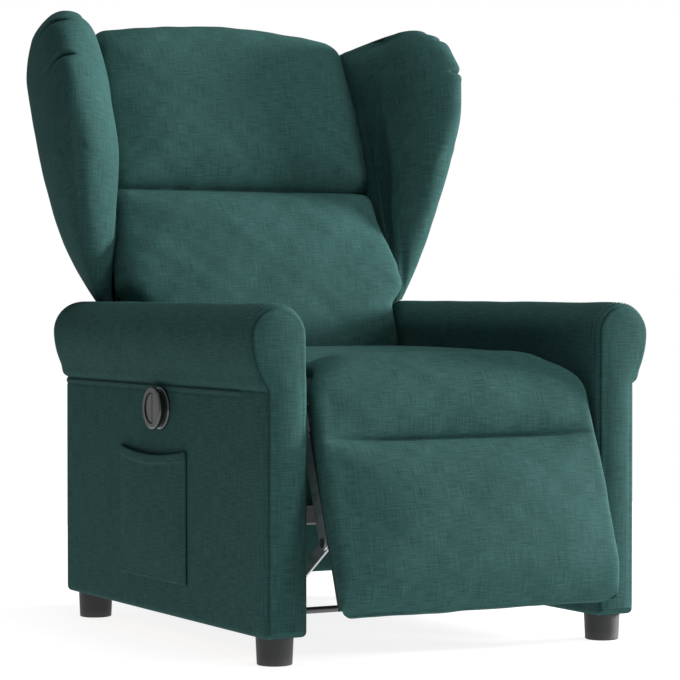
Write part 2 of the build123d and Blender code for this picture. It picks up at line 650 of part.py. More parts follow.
def clevis(y, z, foot_y):
    """Two cheeks that hold an eye, on a foot plate against a cross bar."""
    inner = MOTOR_TONGUE / 2 + CLEVIS_GAP
    outer = inner + CLEVIS_CHEEK
    ahead = 1 if foot_y > y else -1
    near_y = y - ahead * CLEVIS_END
    low_z, high_z = z - CLEVIS_HALF_HEIGHT, z + CLEVIS_HALF_HEIGHT
    cheek = across(polygon((near_y, low_z), (near_y, high_z), (foot_y, high_z), (foot_y, low_z)), inner, outer)
    plate_y = foot_y - ahead * CLEVIS_PLATE
    plate = block(-outer, outer, min(plate_y, foot_y), max(plate_y, foot_y), low_z, high_z)
    whole = cheek + mirrored(cheek) + plate
    return whole - cross_pin(y, z, -outer, outer, PIN_RADIUS + RUNNING)


def clevis_pin(y, z):
    reach = MOTOR_TONGUE / 2 + CLEVIS_GAP + CLEVIS_CHEEK
    pin = cross_pin(y, z, -reach - CLEVIS_PIN_END, reach, PIN_RADIUS)
    return pin + cross_pin(y, z, reach, reach + CLEVIS_PIN_HEAD, PIN_HEAD_RADIUS)


# Seat
def seat_plate():
    """Steel side plate that carries the crank pivot A, the footrest hinge C and the back hinge H."""
    mid_z = SEAT_PLATE_MID_Z
    front_y = SEAT_FRONT_RAIL_Y + SEAT_PLATE_END
    rear_y = SEAT_REAR_RAIL_Y - SEAT_PLATE_END
    flat = stadium((front_y, mid_z), (rear_y, mid_z), SEAT_PLATE_WIDTH)
    flat += stadium(PIVOT_C, (front_y, mid_z - SEAT_ARM_DROP), SEAT_FRONT_ARM)
    flat += stadium(PIVOT_A, (PIVOT_A[0], mid_z), HANGER_WIDTH)
    flat += stadium((rear_y, mid_z - SEAT_ARM_DROP), PIVOT_H, SEAT_REAR_ARM)
    plate = across(flat, SEAT_PLATE_X, PLATE_OUT_X)
    for pivot in (PIVOT_A, PIVOT_C, PIVOT_H):
        plate -= cross_pin(*pivot, SEAT_PLATE_X, PLATE_OUT_X, PIN_RADIUS + RUNNING)
    return plate


def hanger(y, glide_z, low_z):
    """Flat bar on the outside of a seat plate that hangs it on a glide."""
    flat = stadium((y, SEAT_PLATE_MID_Z), (y, low_z), HANGER_WIDTH)
    bar = across(flat, PLATE_OUT_X, PLATE_OUT_X + LINK_THICK)
    return bar - cross_pin(y, glide_z, PLATE_OUT_X, PLATE_OUT_X + LINK_THICK, GLIDE_STUD_RADIUS + RUNNING)


def glide(y, z):
    """Nylon block in the track, with a stud through the seat plate."""
    inner_x = ARM_INNER_X - SLIP - RAIL_DEPTH + RAIL_WALL + GLIDE_SIDE_CLEARANCE
    outer_x = ARM_INNER_X - SLIP - RAIL_WALL - RAIL_BOLT_HEAD - GLIDE_SIDE_CLEARANCE
    half = RAIL_HEIGHT / 2 - RAIL_WALL - GLIDE_CLEARANCE
    body = block(inner_x, outer_x, -GLIDE_LENGTH / 2, GLIDE_LENGTH / 2, -half, half)
    body = fillet(body.edges().filter_by(Axis.X), GLIDE_ROUND)
    body = Pos(0, y, z) * Rot(-SLIDE_RISE, 0, 0) * body
    return body + cross_pin(y, z, PLATE_OUT_X, inner_x, GLIDE_STUD_RADIUS)


def pivot_pin(pivot):
    """Headed pin fixed in a seat plate; the moving link turns on its inner end."""
    pin = cross_pin(*pivot, LINK_X - PIVOT_PIN_END, PLATE_OUT_X, PIN_RADIUS)
    return pin + cross_pin(*pivot, PLATE_OUT_X, PLATE_OUT_X + PIN_HEAD_DEPTH, PIN_HEAD_RADIUS)


def seat_rails():
    """Front and rear rails between the two side rails of the seat frame."""
    z = (SEAT_RAIL_BOTTOM_Z, SEAT_RAIL_TOP_Z)
    inner = SEAT_PLATE_X - SEAT_RAIL_THICK
    front = block(-inner, inner, SEAT_FRONT_RAIL_Y, SEAT_FRONT_RAIL_Y + SEAT_RAIL_THICK, *z)
    rear = block(-inner, inner, SEAT_REAR_RAIL_Y - SEAT_RAIL_THICK, SEAT_REAR_RAIL_Y, *z)
    side = block(inner, SEAT_PLATE_X, SEAT_FRONT_RAIL_Y, SEAT_REAR_RAIL_Y, *z)
    return front, rear, side


def seat_spring(x):
    """One sinuous wire spring from the front rail to the rear rail."""
    start = SEAT_FRONT_RAIL_Y + SEAT_RAIL_THICK
    end = SEAT_REAR_RAIL_Y - SEAT_RAIL_THICK
    step = (end - start) / (SPRING_BENDS + 1)
    z = SEAT_RAIL_TOP_Z - SPRING_DROP
    points = [(x, start, z), (x, start + step / 2, z)]
    side = 1
    for i in range(SPRING_BENDS):
        y = start + step * (i + 0.5)
        points += [(x + side * SPRING_SWING, y, z), (x + side * SPRING_SWING, y + step, z)]
        side = -side
    points += [(x, end - step / 2, z), (x, end, z)]
    path = FilletPolyline(*points, radius=step * 0.4)
    return sweep(Plane(path @ 0, z_dir=path % 0) * Circle(SPRING_WIRE), path=path)


def seat_section(x, top_z, crown):
    """Section of the seat cushion; its front follows the footrest roll."""
    radius = PAD_ROLL_RADIUS + SEAT_ROLL_GAP
    bottom_z = SEAT_BOTTOM_Z

    def on_roll(z):
        return (ROLL_CENTRE_Y + math.sqrt(radius**2 - (z - ROLL_CENTRE_Z) ** 2), z)

    low, high = on_roll(bottom_z), on_roll(top_z - SEAT_LIP)
    rear = (SEAT_REAR_TOP_Y, top_z)
    mid = ((high[0] + rear[0]) / 2, top_z + crown)
    face = outline(
        ThreePointArc(low, on_roll((low[1] + high[1]) / 2), high),
        ThreePointArc(high, mid, rear),
        Line(rear, (SEAT_REAR_BOTTOM_Y, bottom_z)),
        Line((SEAT_REAR_BOTTOM_Y, bottom_z), low),
    )
    return Plane.YZ.offset(x) * face


def seat_cushion():
    edge = SEAT_HALF_WIDTH
    stations = [
        (edge, SEAT_TOP_Z - SEAT_EDGE_DROP, SEAT_EDGE_CROWN),
        (edge - SEAT_EDGE_RUN * 0.3, SEAT_TOP_Z - SEAT_EDGE_DROP * 0.4, SEAT_EDGE_CROWN * 2),
        (edge - SEAT_EDGE_RUN, SEAT_TOP_Z - SEAT_EDGE_DROP * 0.15, SEAT_CROWN * 0.7),
        (edge * 0.5, SEAT_TOP_Z, SEAT_CROWN),
        (0, SEAT_TOP_Z, SEAT_CROWN),
    ]
    return loft(both_ways(seat_section, stations))


def drive_bar():
    return across(Pos(DRIVE_BAR_Y, DRIVE_BAR_Z) * square_tube(DRIVE_BAR), -PLATE_OUT_X, PLATE_OUT_X)


# Footrest linkage
def link(p, q, x, holes):
    plate = across(stadium(p, q, LINK_WIDTH), x, x + LINK_THICK)
    for centre, clearance in holes:
        plate -= cross_pin(*centre, x, x + LINK_THICK, PIN_RADIUS + clearance)
    return plate


def link_pin(pivot):
    """Riveted pin through a link and a coupler, with a head at each end."""
    low = COUPLER_X - SLIP - PIN_HEAD_DEPTH
    high = LINK_X + LINK_THICK
    pin = cross_pin(*pivot, low, high, PIN_RADIUS)
    pin += cross_pin(*pivot, low, low + PIN_HEAD_DEPTH, PIN_HEAD_RADIUS)
    return pin + cross_pin(*pivot, high, high + PIN_HEAD_DEPTH, PIN_HEAD_RADIUS)


def torque_tube():
    ring = Circle(TORQUE_TUBE_RADIUS) - Circle(TORQUE_TUBE_RADIUS - TUBE_WALL)
    return across(Pos(*PIVOT_A) * ring, -LINK_X, LINK_X)


# Footrest, laid out hanging straight down and then swung to its stored tilt
def hung(p, q):
    """(y, z) of a point p behind the pad's face and q below the hinge, before the swing."""
    return (ROLL_CENTRE_Y - PAD_ROLL_RADIUS + p, ROLL_CENTRE_Z - q)


def swung(shape):
    return shape.rotate(Axis((0, *PIVOT_C), (1, 0, 0)), -REST_TILT)


def pad_slab_section(x, top, inset, crown, thick):
    """Front panel of the footrest pad: two swells that meet in the sewn crease."""
    crease = hung(inset + crown * 0.7, PAD_CREASE)
    upper = hung(inset - crown * 0.2, (PAD_CREASE + top) / 2)
    front = inset + PAD_FACE_SET_BACK
    rear = thick - inset * 0.4
    foot = PAD_LENGTH - inset
    top_front, top_rear, low_rear = hung(front, top), hung(rear, top), hung(rear, foot)
    swell = hung(inset - crown, (PAD_CREASE + PAD_LENGTH) / 2)
    low_front = hung(front, foot - PAD_FOOT_ROUND * 0.64)
    low_mid = hung(inset + PAD_FOOT_SET_BACK, foot - PAD_FOOT_ROUND * 0.14)
    low_end = hung(inset + PAD_FOOT_ROUND, foot)
    face = outline(
        ThreePointArc(top_front, upper, crease),
        ThreePointArc(crease, swell, low_front),
        ThreePointArc(low_front, low_mid, low_end),
        Line(low_end, low_rear),
        Line(low_rear, top_rear),
        Line(top_rear, top_front),
    )
    return Plane.YZ.offset(x) * face


def pad_roll_section(x, radius):
    """Top roll of the pad, a ring that turns about the hinge."""
    def polar(r, angle):
        a = math.radians(angle)
        return (ROLL_CENTRE_Y - r * math.cos(a), ROLL_CENTRE_Z + r * math.sin(a))

    half = PAD_ROLL_SWEEP / 2
    inner = PAD_ROLL_INNER
    face = outline(
        ThreePointArc(polar(radius, 0), polar(radius, half), polar(radius, PAD_ROLL_SWEEP)),
        Line(polar(radius, PAD_ROLL_SWEEP), polar(inner, PAD_ROLL_SWEEP)),
        ThreePointArc(polar(inner, PAD_ROLL_SWEEP), polar(inner, half), polar(inner, 0)),
        Line(polar(inner, 0), polar(radius, 0)),
    )
    return Plane.YZ.offset(x) * face


def footrest_pad():
    wide = PAD_HALF_WIDTH
    roll = PAD_ROLL_HALF_WIDTH
    big = PAD_ROLL_RADIUS
    rise = -PAD_TOP_RISE
    slab = loft(both_ways(pad_slab_section, [
        (wide, PAD_EDGE_DROP, PAD_EDGE_INSET, PAD_CROWN * 0.11, PAD_SIDE_THICK),
        (wide - PAD_EDGE_RUN, PAD_EDGE_DROP * 0.08, PAD_EDGE_INSET * 0.38, PAD_CROWN * 0.22,
         (PAD_SIDE_THICK + PAD_THICK) / 2),
        (roll, rise * 0.82, PAD_EDGE_INSET * 0.12, PAD_CROWN * 0.56, PAD_THICK),
        (roll - PAD_CROWN_RUN, rise, 0, PAD_CROWN * 0.89, PAD_THICK),
        (roll * 0.4, rise, 0, PAD_CROWN, PAD_THICK),
        (0, rise, 0, PAD_CROWN, PAD_THICK),
    ]))
    behind = [hung(p, q) for p, q in ((PAD_THICK, 2 * rise), (2 * PAD_THICK, 2 * rise),
                                      (2 * PAD_THICK, PAD_LENGTH + TRIM), (PAD_THICK, PAD_LENGTH + TRIM))]
    slab -= across(polygon(*behind), -wide - TRIM, wide + TRIM)
    ring = loft(both_ways(pad_roll_section, [
        (roll, big - PAD_ROLL_DROOP),
        (roll - PAD_ROLL_RUN * 0.32, big - PAD_ROLL_DROOP * 0.59),
        (roll - PAD_ROLL_RUN, big - PAD_ROLL_DROOP * 0.18),
        (roll - PAD_ROLL_RUN * 2, big),
        (roll * 0.3, big),
        (0, big),
    ]))
    return swung(slab + ring)


def footrest_board():
    front, rear = PAD_THICK + SLIP, BOARD_REAR
    low = PAD_LENGTH - BOARD_SHORT
    corners = [hung(front, BOARD_TOP), hung(rear, BOARD_TOP), hung(rear, low), hung(front, low)]
    return swung(across(polygon(*corners), -BOARD_HALF_WIDTH, BOARD_HALF_WIDTH))


def footrest_bracket():
    """Angle bracket from the hinge C to the coupler pivot E, screwed to the board."""
    rear, face, top, end = BOARD_REAR, BOARD_REAR + BRACKET_STEEL, BRACKET_TOP, CRANK_LENGTH
    arm = stadium(hung(PAD_ROLL_RADIUS, 0), hung(PAD_ROLL_RADIUS, end), LINK_WIDTH)
    arm += polygon(hung(rear, top), hung(PAD_ROLL_RADIUS, top), hung(PAD_ROLL_RADIUS, end), hung(rear, end))
    bracket = across(arm, LINK_X, LINK_X + LINK_THICK)
    flange = polygon(hung(rear, top), hung(face, top), hung(face, end), hung(rear, end))
    bracket += across(flange, LINK_X - BRACKET_FLANGE, LINK_X + LINK_THICK)
    bracket -= cross_pin(*hung(PAD_ROLL_RADIUS, 0), LINK_X, LINK_X + LINK_THICK, PIN_RADIUS + RUNNING)
    bracket -= cross_pin(*hung(PAD_ROLL_RADIUS, end), LINK_X, LINK_X + LINK_THICK, PIN_RADIUS)
    return swung(bracket)


# Back, in its own slope: v runs up the back, w runs to its rear
lean = math.radians(BACK_TILT)


def sloped(v, w):
    """(y, z) of a point of the back."""
    return (BACK_DATUM_Y + v * math.sin(lean) + w * math.cos(lean),
            BACK_DATUM_Z + v * math.cos(lean) - w * math.sin(lean))


def back_plane(v):
    """Plane across the back at v, drawn in (x, w)."""
    return Plane((0, *sloped(v, 0)), x_dir=(1, 0, 0), z_dir=(0, math.sin(lean), math.cos(lean)))


def back_block(x0, x1, v0, v1, w0, w1):
    face = Pos((x0 + x1) / 2, (w0 + w1) / 2) * Rectangle(x1 - x0, w1 - w0)
    return extrude(back_plane(v0) * face, amount=v1 - v0)


def back_half_width(v):
    share = (v - BACK_PAD_FOOT) / (BACK_PAD_TOP - BACK_PAD_FOOT)
    return BACK_HALF_WIDTH_FOOT + share * (BACK_HALF_WIDTH_TOP - BACK_HALF_WIDTH_FOOT)


def back_section(v, edge_w, mid_w, corner):
    """Section of the back cushion: flat rear, round front corners, crowned front."""
    half = back_half_width(v) - SLIP
    rear = BACK_FRAME_FRONT - SLIP
    turn = 0.3 * corner
    right = [(half, edge_w + corner), (half - turn, edge_w + turn), (half - corner, edge_w)]
    left = [(-x, w) for x, w in right]
    face = outline(
        Line((-half, rear), (half, rear)),
        Line((half, rear), right[0]),
        ThreePointArc(*right),
        ThreePointArc(right[2], (0, mid_w), left[2]),
        ThreePointArc(left[2], left[1], left[0]),
        Line(left[0], (-half, rear)),
    )
    return back_plane(v) * face


def back_cushion():
    """Lumbar and head sections that meet in the sewn crease."""
    full = BACK_FRONT - BACK_CROWN
    pulled = BACK_FRONT + BACK_CREASE_DEPTH
    low, crease, top = BACK_PAD_FOOT, BACK_CREASE, BACK_PAD_TOP
    edge = BACK_FRONT + BACK_EDGE_SET_BACK
    near = (edge + BACK_CREASE_EDGE, full + BACK_CREASE_PULL, BACK_CORNER)
    sewn = (pulled + BACK_CREASE_EDGE, pulled, BACK_END_CORNER)
    lumbar = loft([
        back_section(low, edge + BACK_FOOT_PULL, pulled, BACK_END_CORNER),
        back_section(low + BACK_FOOT_RUN, edge, full + BACK_CREASE_PULL / 2, BACK_CORNER),
        back_section((low + crease) / 2 - BACK_CREASE_RUN, edge, full, BACK_CORNER),
        back_section(crease - BACK_SWELL_RUN, edge, full, BACK_CORNER),
        back_section(crease - BACK_CREASE_RUN, *near),
        back_section(crease, *sewn),
    ])
    head = loft([
        back_section(crease, *sewn),
        back_section(crease + BACK_CREASE_RUN, *near),
        back_section(crease + BACK_SWELL_RUN, edge, full, BACK_CORNER),
        back_section(top - BACK_SWELL_RUN, edge, full, BACK_CORNER),
        back_section(top - BACK_TOP_RUN, edge + BACK_TOP_PULL * 0.3, full + BACK_TOP_PULL / 2, BACK_CORNER),
        back_section(top, edge + BACK_TOP_PULL, pulled + BACK_CORNER, BACK_END_CORNER),
    ])
    return lumbar + head


def frame_half_width(v):
    """Outer side of the back frame: in line with the links at its foot and with the cushion at its top."""
    share = (v - BACK_FRAME_FOOT) / (BACK_FRAME_TOP - BACK_FRAME_FOOT)
    return BACK_FRAME_HALF_WIDTH + share * (back_half_width(BACK_FRAME_TOP) - BACK_FRAME_HALF_WIDTH)


def between_stiles(low, high):
    """Half length of a rail or strap that spans the stiles from v low to v high."""
    return min(frame_half_width(low), frame_half_width(high)) - BACK_BOARD


def back_stile():
    def section(v):
        board = Rectangle(BACK_BOARD, BACK_FRAME_REAR - BACK_FRAME_FRONT)
        middle = Pos(frame_half_width(v) - BACK_BOARD / 2, (BACK_FRAME_FRONT + BACK_FRAME_REAR) / 2)
        return back_plane(v) * (middle * board)

    return loft([section(BACK_FRAME_FOOT), section(BACK_FRAME_TOP)], ruled=True)


def back_rails():
    rails = []
    for v in (BACK_FRAME_FOOT, BACK_CREASE - BACK_BOARD / 2, BACK_PAD_TOP - BACK_PANEL_SHORT - BACK_BOARD):
        half = between_stiles(v, v + BACK_BOARD)
        rails.append(back_block(-half, half, v, v + BACK_BOARD, BACK_FRAME_FRONT, BACK_FRAME_REAR))
    return rails


def back_webbing():
    """Elastic straps between the stiles, level with the front of the frame."""
    low = BACK_FRAME_FOOT + BACK_BOARD
    pitch = (BACK_FRAME_TOP - BACK_BOARD - low) / (WEBBING_COUNT + 1)
    straps = []
    for i in range(WEBBING_COUNT + 1):
        v = low + pitch * (i + 0.5)
        if abs(v - BACK_CREASE) > (BACK_BOARD + WEBBING_WIDTH) / 2:
            start, end = v - WEBBING_WIDTH / 2, v + WEBBING_WIDTH / 2
            half = between_stiles(start, end)
            straps.append(back_block(-half, half, start, end, BACK_FRAME_FRONT, BACK_FRAME_FRONT + WEBBING_THICK))
    return straps


def back_rear_panel():
    """Padded outer back, thicker at the foot, with a narrow skirt between the hinge brackets."""
    def section(v, half, rear):
        flat = Rectangle(2 * half, rear - BACK_FRAME_REAR)
        return back_plane(v) * (Pos(0, (BACK_FRAME_REAR + rear) / 2) * flat)

    low, high = BACK_PAD_FOOT, BACK_PAD_TOP - BACK_PANEL_SHORT
    panel = loft([section(low, back_half_width(low) - SLIP, BACK_REAR_FOOT),
                  section(high, back_half_width(high) - SLIP, BACK_REAR_TOP)], ruled=True)
    skirt = section(BACK_FRAME_FOOT, LINK_X - LAYER_GAP, BACK_REAR_FOOT)
    return panel + extrude(skirt, amount=low - BACK_FRAME_FOOT, dir=(0, math.sin(lean), math.cos(lean)))


def back_bracket():
    """Steel bracket from the back frame's foot to the hinge H."""
    on_stile = sloped(BACK_FRAME_FOOT + BACK_BRACKET_RISE, (BACK_FRAME_FRONT + BACK_FRAME_REAR) / 2)
    plate = across(stadium(on_stile, PIVOT_H, BACK_BRACKET_WIDTH), LINK_X, LINK_X + LINK_THICK)
    return plate - cross_pin(*PIVOT_H, LINK_X, LINK_X + LINK_THICK, PIN_RADIUS + RUNNING)


# Sections of a wing up the back: v, rear outer (x, w), front outer (x, w), front inner (x, w), inner w and
# the outer side's swell
WING_SECTIONS = [
    (226, (283, -9), (310, -62), (294, -72), -70, 2),
    (300, (322, -9), (346, -114), (298, -110), -92, 2),
    (375, (346, -9), (366, -167), (292, -140), -100, 5),
    (474, (361, -9), (387, -242), (298, -198), -104, 10),
    (564, (367, -9), (397, -276), (310, -226), -106, 14),
    (640, (369, -12), (391, -270), (318, -222), -104, 18),
    (700, (364, -26), (375, -232), (327, -196), -96, 22),
    (730, (348, -52), (358, -190), (331, -170), -86, 22),
]
WING_ARM_GAP = 9.0
WING_FULL_DEPTH = 200.0
WING_NOSE = 18.0
WING_INNER_SWELL = 6.0


def bowed(p, q, swell):
    """Arc from p to q that swells to the left of the way from p to q."""
    length = math.dist(p, q)
    across_x, across_w = -(q[1] - p[1]) / length, (q[0] - p[0]) / length
    mid = ((p[0] + q[0]) / 2 + across_x * swell, (p[1] + q[1]) / 2 + across_w * swell)
    return ThreePointArc(p, mid, q)


def wing_section(v, rear, front, nose, inner_w, swell):
    side_x = back_half_width(v) + SLIP
    size = min(1.0, math.dist(rear, front) / WING_FULL_DEPTH)
    face = outline(
        Line((side_x, rear[1]), rear),
        bowed(rear, front, swell),
        bowed(front, nose, WING_NOSE * size),
        bowed(nose, (side_x, inner_w), WING_INNER_SWELL * size),
        Line((side_x, inner_w), (side_x, rear[1])),
    )
    return back_plane(v) * face


def wing():
    """Padded wing beside the back, cut level above the arm."""
    body = loft([wing_section(*s) for s in WING_SECTIONS])
    box = body.bounding_box()
    return body - block(box.min.X - TRIM, box.max.X + TRIM, box.min.Y - TRIM, box.max.Y + TRIM,
                        box.min.Z - TRIM, ARM_TOP_Z + WING_ARM_GAP)


# All pieces
def build():
    cover = arm_cover()
    node("right_arm_cover", cover)
    node("left_arm_cover", mirrored(cover) - switch_hole() - lead_hole())
    pair("arm_front_panel", arm_facing())
    boards = Compound([s for b in arm_frame() + frame_cleats() for s in b.solids()])
    pair("arm_frame", boards)
    feet = {"front": FOOT_FRONT_Y, "rear": FOOT_REAR_Y}
    for place, y in feet.items():
        node(f"{place}_right_foot", foot(FOOT_X, y))
        node(f"{place}_left_foot", foot(-FOOT_X, y))
    node("foot_bolts", *[foot_bolt(x, y) for x in (FOOT_X, -FOOT_X) for y in feet.values()])
    node("side_pocket", side_pocket())
    node("switch_housing", switch_housing())
    node("open_button", switch_button(-1))
    node("close_button", switch_button(1))
    node("switch_lead", switch_lead())
    node("motor_lead", motor_lead())
    pair("base_rail", base_rail())
    bolts = [rail_bolt(y) for y in RAIL_BOLT_YS]
    node("rail_bolts", *bolts, *[mirrored(b) for b in bolts])
    node("rear_base_panel", rear_base_panel())
    node("rear_cross_tube", rear_cross_tube() + clevis(MOTOR_PIN_Y, MOTOR_PIN_Z, CROSS_TUBE_Y - CROSS_TUBE / 2))
    node("front_stretcher_bar", front_stretcher())
    node("control_box", control_box())
    node("power_inlet", power_inlet())
    node("motor_housing", motor_housing())
    node("actuator_tube", actuator_tube())
    node("motor_pin", clevis_pin(MOTOR_PIN_Y, MOTOR_PIN_Z))

    pair("seat_plate", seat_plate())
    hangers = [hanger(GLIDE_FRONT_Y, GLIDE_FRONT_Z, DRIVE_BAR_Z),
               hanger(GLIDE_REAR_Y, GLIDE_REAR_Z, GLIDE_REAR_Z)]
    node("seat_hangers", *hangers, *[mirrored(h) for h in hangers])
    glides = [glide(GLIDE_FRONT_Y, GLIDE_FRONT_Z), glide(GLIDE_REAR_Y, GLIDE_REAR_Z)]
    node("seat_glides", *glides, *[mirrored(g) for g in glides])
    pins = [pivot_pin(p) for p in (PIVOT_A, PIVOT_C, PIVOT_H)]
    node("seat_pivot_pins", *pins, *[mirrored(p) for p in pins])
    front, rear, side = seat_rails()
    node("seat_front_rail", front)
    node("seat_rear_rail", rear)
    node("seat_side_rails", side, mirrored(side))
    middle = (SPRING_COUNT - 1) / 2
    node("seat_springs", *[seat_spring((i - middle) * SPRING_PITCH_X) for i in range(SPRING_COUNT)])
    node("seat_cushion", seat_cushion())
    node("drive_bar", drive_bar() + clevis(ROD_PIN_Y, ROD_PIN_Z, DRIVE_BAR_Y + DRIVE_BAR / 2))
    node("actuator_rod", actuator_rod())
    node("rod_pin", clevis_pin(ROD_PIN_Y, ROD_PIN_Z))

    crank = link(PIVOT_A, PIVOT_CRANK, LINK_X, [(PIVOT_A, RUNNING), (PIVOT_CRANK, 0)])
    pair("crank", crank)
    node("torque_tube", torque_tube())
    crank_pin = link_pin(PIVOT_CRANK)
    node("crank_pins", crank_pin, mirrored(crank_pin))
    pair("coupler", link(PIVOT_CRANK, PIVOT_E, COUPLER_X, [(PIVOT_CRANK, RUNNING), (PIVOT_E, SLIP)]))
    node("footrest_board", footrest_board())
    node("footrest_pad", footrest_pad())
    pair("footrest_bracket", footrest_bracket())
    end_pin = link_pin(PIVOT_E)
    node("footrest_pins", end_pin, mirrored(end_pin))

    stile = back_stile()
    node("back_stiles", stile, mirrored(stile))
    node("back_rails", *back_rails())
    node("back_webbing", *back_webbing())
    node("back_cushion", back_cushion())
    node("back_rear_panel", back_rear_panel())
    bracket = back_bracket()
    node("back_brackets", bracket, mirrored(bracket))
    pair("wing", wing())


build()
os.makedirs("parts", exist_ok=True)
for name, shape in PARTS.items():
    export_step(shape, f"parts/{name}.step")
box = Compound([s for shape in PARTS.values() for s in shape.solids()]).bounding_box()
print(len(PARTS), "pieces", [round(v, 1) for v in (*box.min, *box.max)])
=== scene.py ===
import math
import bmesh
import bpy
import numpy as np
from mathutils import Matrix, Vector


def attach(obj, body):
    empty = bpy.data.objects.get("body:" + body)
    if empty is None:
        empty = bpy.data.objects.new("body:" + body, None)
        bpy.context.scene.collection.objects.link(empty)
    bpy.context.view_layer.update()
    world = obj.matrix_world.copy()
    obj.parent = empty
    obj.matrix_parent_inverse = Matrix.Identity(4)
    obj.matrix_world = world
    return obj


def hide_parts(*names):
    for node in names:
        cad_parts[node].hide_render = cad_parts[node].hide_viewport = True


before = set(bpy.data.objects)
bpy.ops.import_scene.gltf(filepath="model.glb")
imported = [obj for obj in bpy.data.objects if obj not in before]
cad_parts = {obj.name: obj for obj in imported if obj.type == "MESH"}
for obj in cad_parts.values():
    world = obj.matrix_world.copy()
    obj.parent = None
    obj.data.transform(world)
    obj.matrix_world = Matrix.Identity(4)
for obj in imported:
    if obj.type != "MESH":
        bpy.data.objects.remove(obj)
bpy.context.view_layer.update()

# Photo studio: a pale floor that glows white, its glow dimmed round the chair as painted soft shade,
# in a dimly lit white room. One soft box to the right of the lens, a stronger one far round to the right
# and a weak one overhead shape the chair. The lens is long, at arm height.
FLOOR_HALF = 2.0
FLOOR_GREY = (0.30, 0.30, 0.30, 1)
# The floor glows; its glow is dimmed under the chair, painted soft shade there, and real shadows fall on it
# too.
FLOOR_GLOW = 0.86               # under the chair; it rises to 1
FLOOR_GLOW_FROM, FLOOR_GLOW_TO = 0.4, 1.2
ROOM_LIGHT = 0.145              # of the walls as they light the chair; the lens sees them at 1
ROOM_SHINE = 0.35               # share of the difference that glossy surfaces mirror

bpy.context.scene.view_settings.view_transform = "Standard"


def put(name, data):
    """A new object in the scene."""
    made = bpy.data.objects.new(name, data)
    bpy.context.collection.objects.link(made)
    return made


floor = bpy.data.meshes.new("studio_floor")
floor_corners = [(x * FLOOR_HALF, y * FLOOR_HALF, 0) for x, y in ((-1, -1), (1, -1), (1, 1), (-1, 1))]
floor.from_pydata(floor_corners, [], [(0, 1, 2, 3)])
floor_paint = bpy.data.materials.new("studio_floor")
floor_paint.use_nodes = True
floor_nodes, floor_link = floor_paint.node_tree.nodes, floor_paint.node_tree.links.new
floor_shader = floor_nodes["Principled BSDF"]
for socket, value in (("Base Color", FLOOR_GREY), ("Roughness", 0.8), ("Specular IOR Level", 0.1),
                      ("Emission Strength", 1.0)):
    floor_shader.inputs[socket].default_value = value
floor_place = floor_nodes.new("ShaderNodeTexCoord")
floor_reach = floor_nodes.new("ShaderNodeVectorMath")
floor_reach.operation = "LENGTH"
# Painted shade: the floor's glow is least near the chair and rises to full further out.
floor_glow = floor_nodes.new("ShaderNodeMapRange")
floor_glow.inputs["From Min"].default_value = FLOOR_GLOW_FROM
floor_glow.inputs["From Max"].default_value = FLOOR_GLOW_TO
floor_glow.inputs["To Min"].default_value = FLOOR_GLOW
floor_link(floor_place.outputs["Object"], floor_reach.inputs[0])
floor_link(floor_reach.outputs["Value"], floor_glow.inputs["Value"])
floor_link(floor_glow.outputs["Result"], floor_shader.inputs["Emission Color"])
floor.materials.append(floor_paint)
floor_sheet = put("studio_floor", floor)

room = bpy.data.worlds.new("white_room")
room.use_nodes = True
room_nodes, room_link = room.node_tree.nodes, room.node_tree.links.new
walls = room_nodes["Background"]
walls.inputs["Color"].default_value = (1, 1, 1, 1)
seen = room_nodes.new("ShaderNodeLightPath")
glow = room_nodes.new("ShaderNodeMapRange")
glow.inputs["To Min"].default_value = ROOM_LIGHT
glow.inputs["To Max"].default_value = 1.0
shine = room_nodes.new("ShaderNodeMath")
shine.operation = "MULTIPLY_ADD"
shine.inputs[1].default_value = ROOM_SHINE
room_link(seen.outputs["Is Glossy Ray"], shine.inputs[0])
room_link(seen.outputs["Is Camera Ray"], shine.inputs[2])
room_link(shine.outputs["Value"], glow.inputs["Value"])
room_link(glow.outputs["Result"], walls.inputs["Strength"])
bpy.context.scene.world = room


def soft_box(name, place, aim, size, power):
    lamp = bpy.data.lights.new(name, "AREA")
    lamp.shape = "DISK"
    lamp.size = size
    lamp.energy = power
    light = put(name, lamp)
    light.location = place
    light.rotation_euler = (Vector(aim) - Vector(place)).to_track_quat("-Z", "Y").to_euler()


soft_box("front_box", place=(3.9, -4.5, 2.2), aim=(0.0, 0.0, 0.6), size=1.8, power=172)
soft_box("side_box", place=(6.0, -1.2, 1.6), aim=(0.0, 0.0, 0.6), size=1.4, power=900)
soft_box("top_box", place=(0.0, -0.6, 4.0), aim=(0.0, 0.0, 0.5), size=2.4, power=60)

LENS_LENGTH = 138.0
LENS_PLACE = (-2.197, -3.982, 0.5876)
LENS_DIP, LENS_TURN = math.radians(1.128), -0.5075
lens = bpy.data.cameras.new("camera")
lens.lens = LENS_LENGTH
lens.sensor_width = 36
camera = put("camera", lens)
camera.location = LENS_PLACE
camera.rotation_euler = (math.radians(90) - LENS_DIP, 0, LENS_TURN)
bpy.context.scene.camera = camera


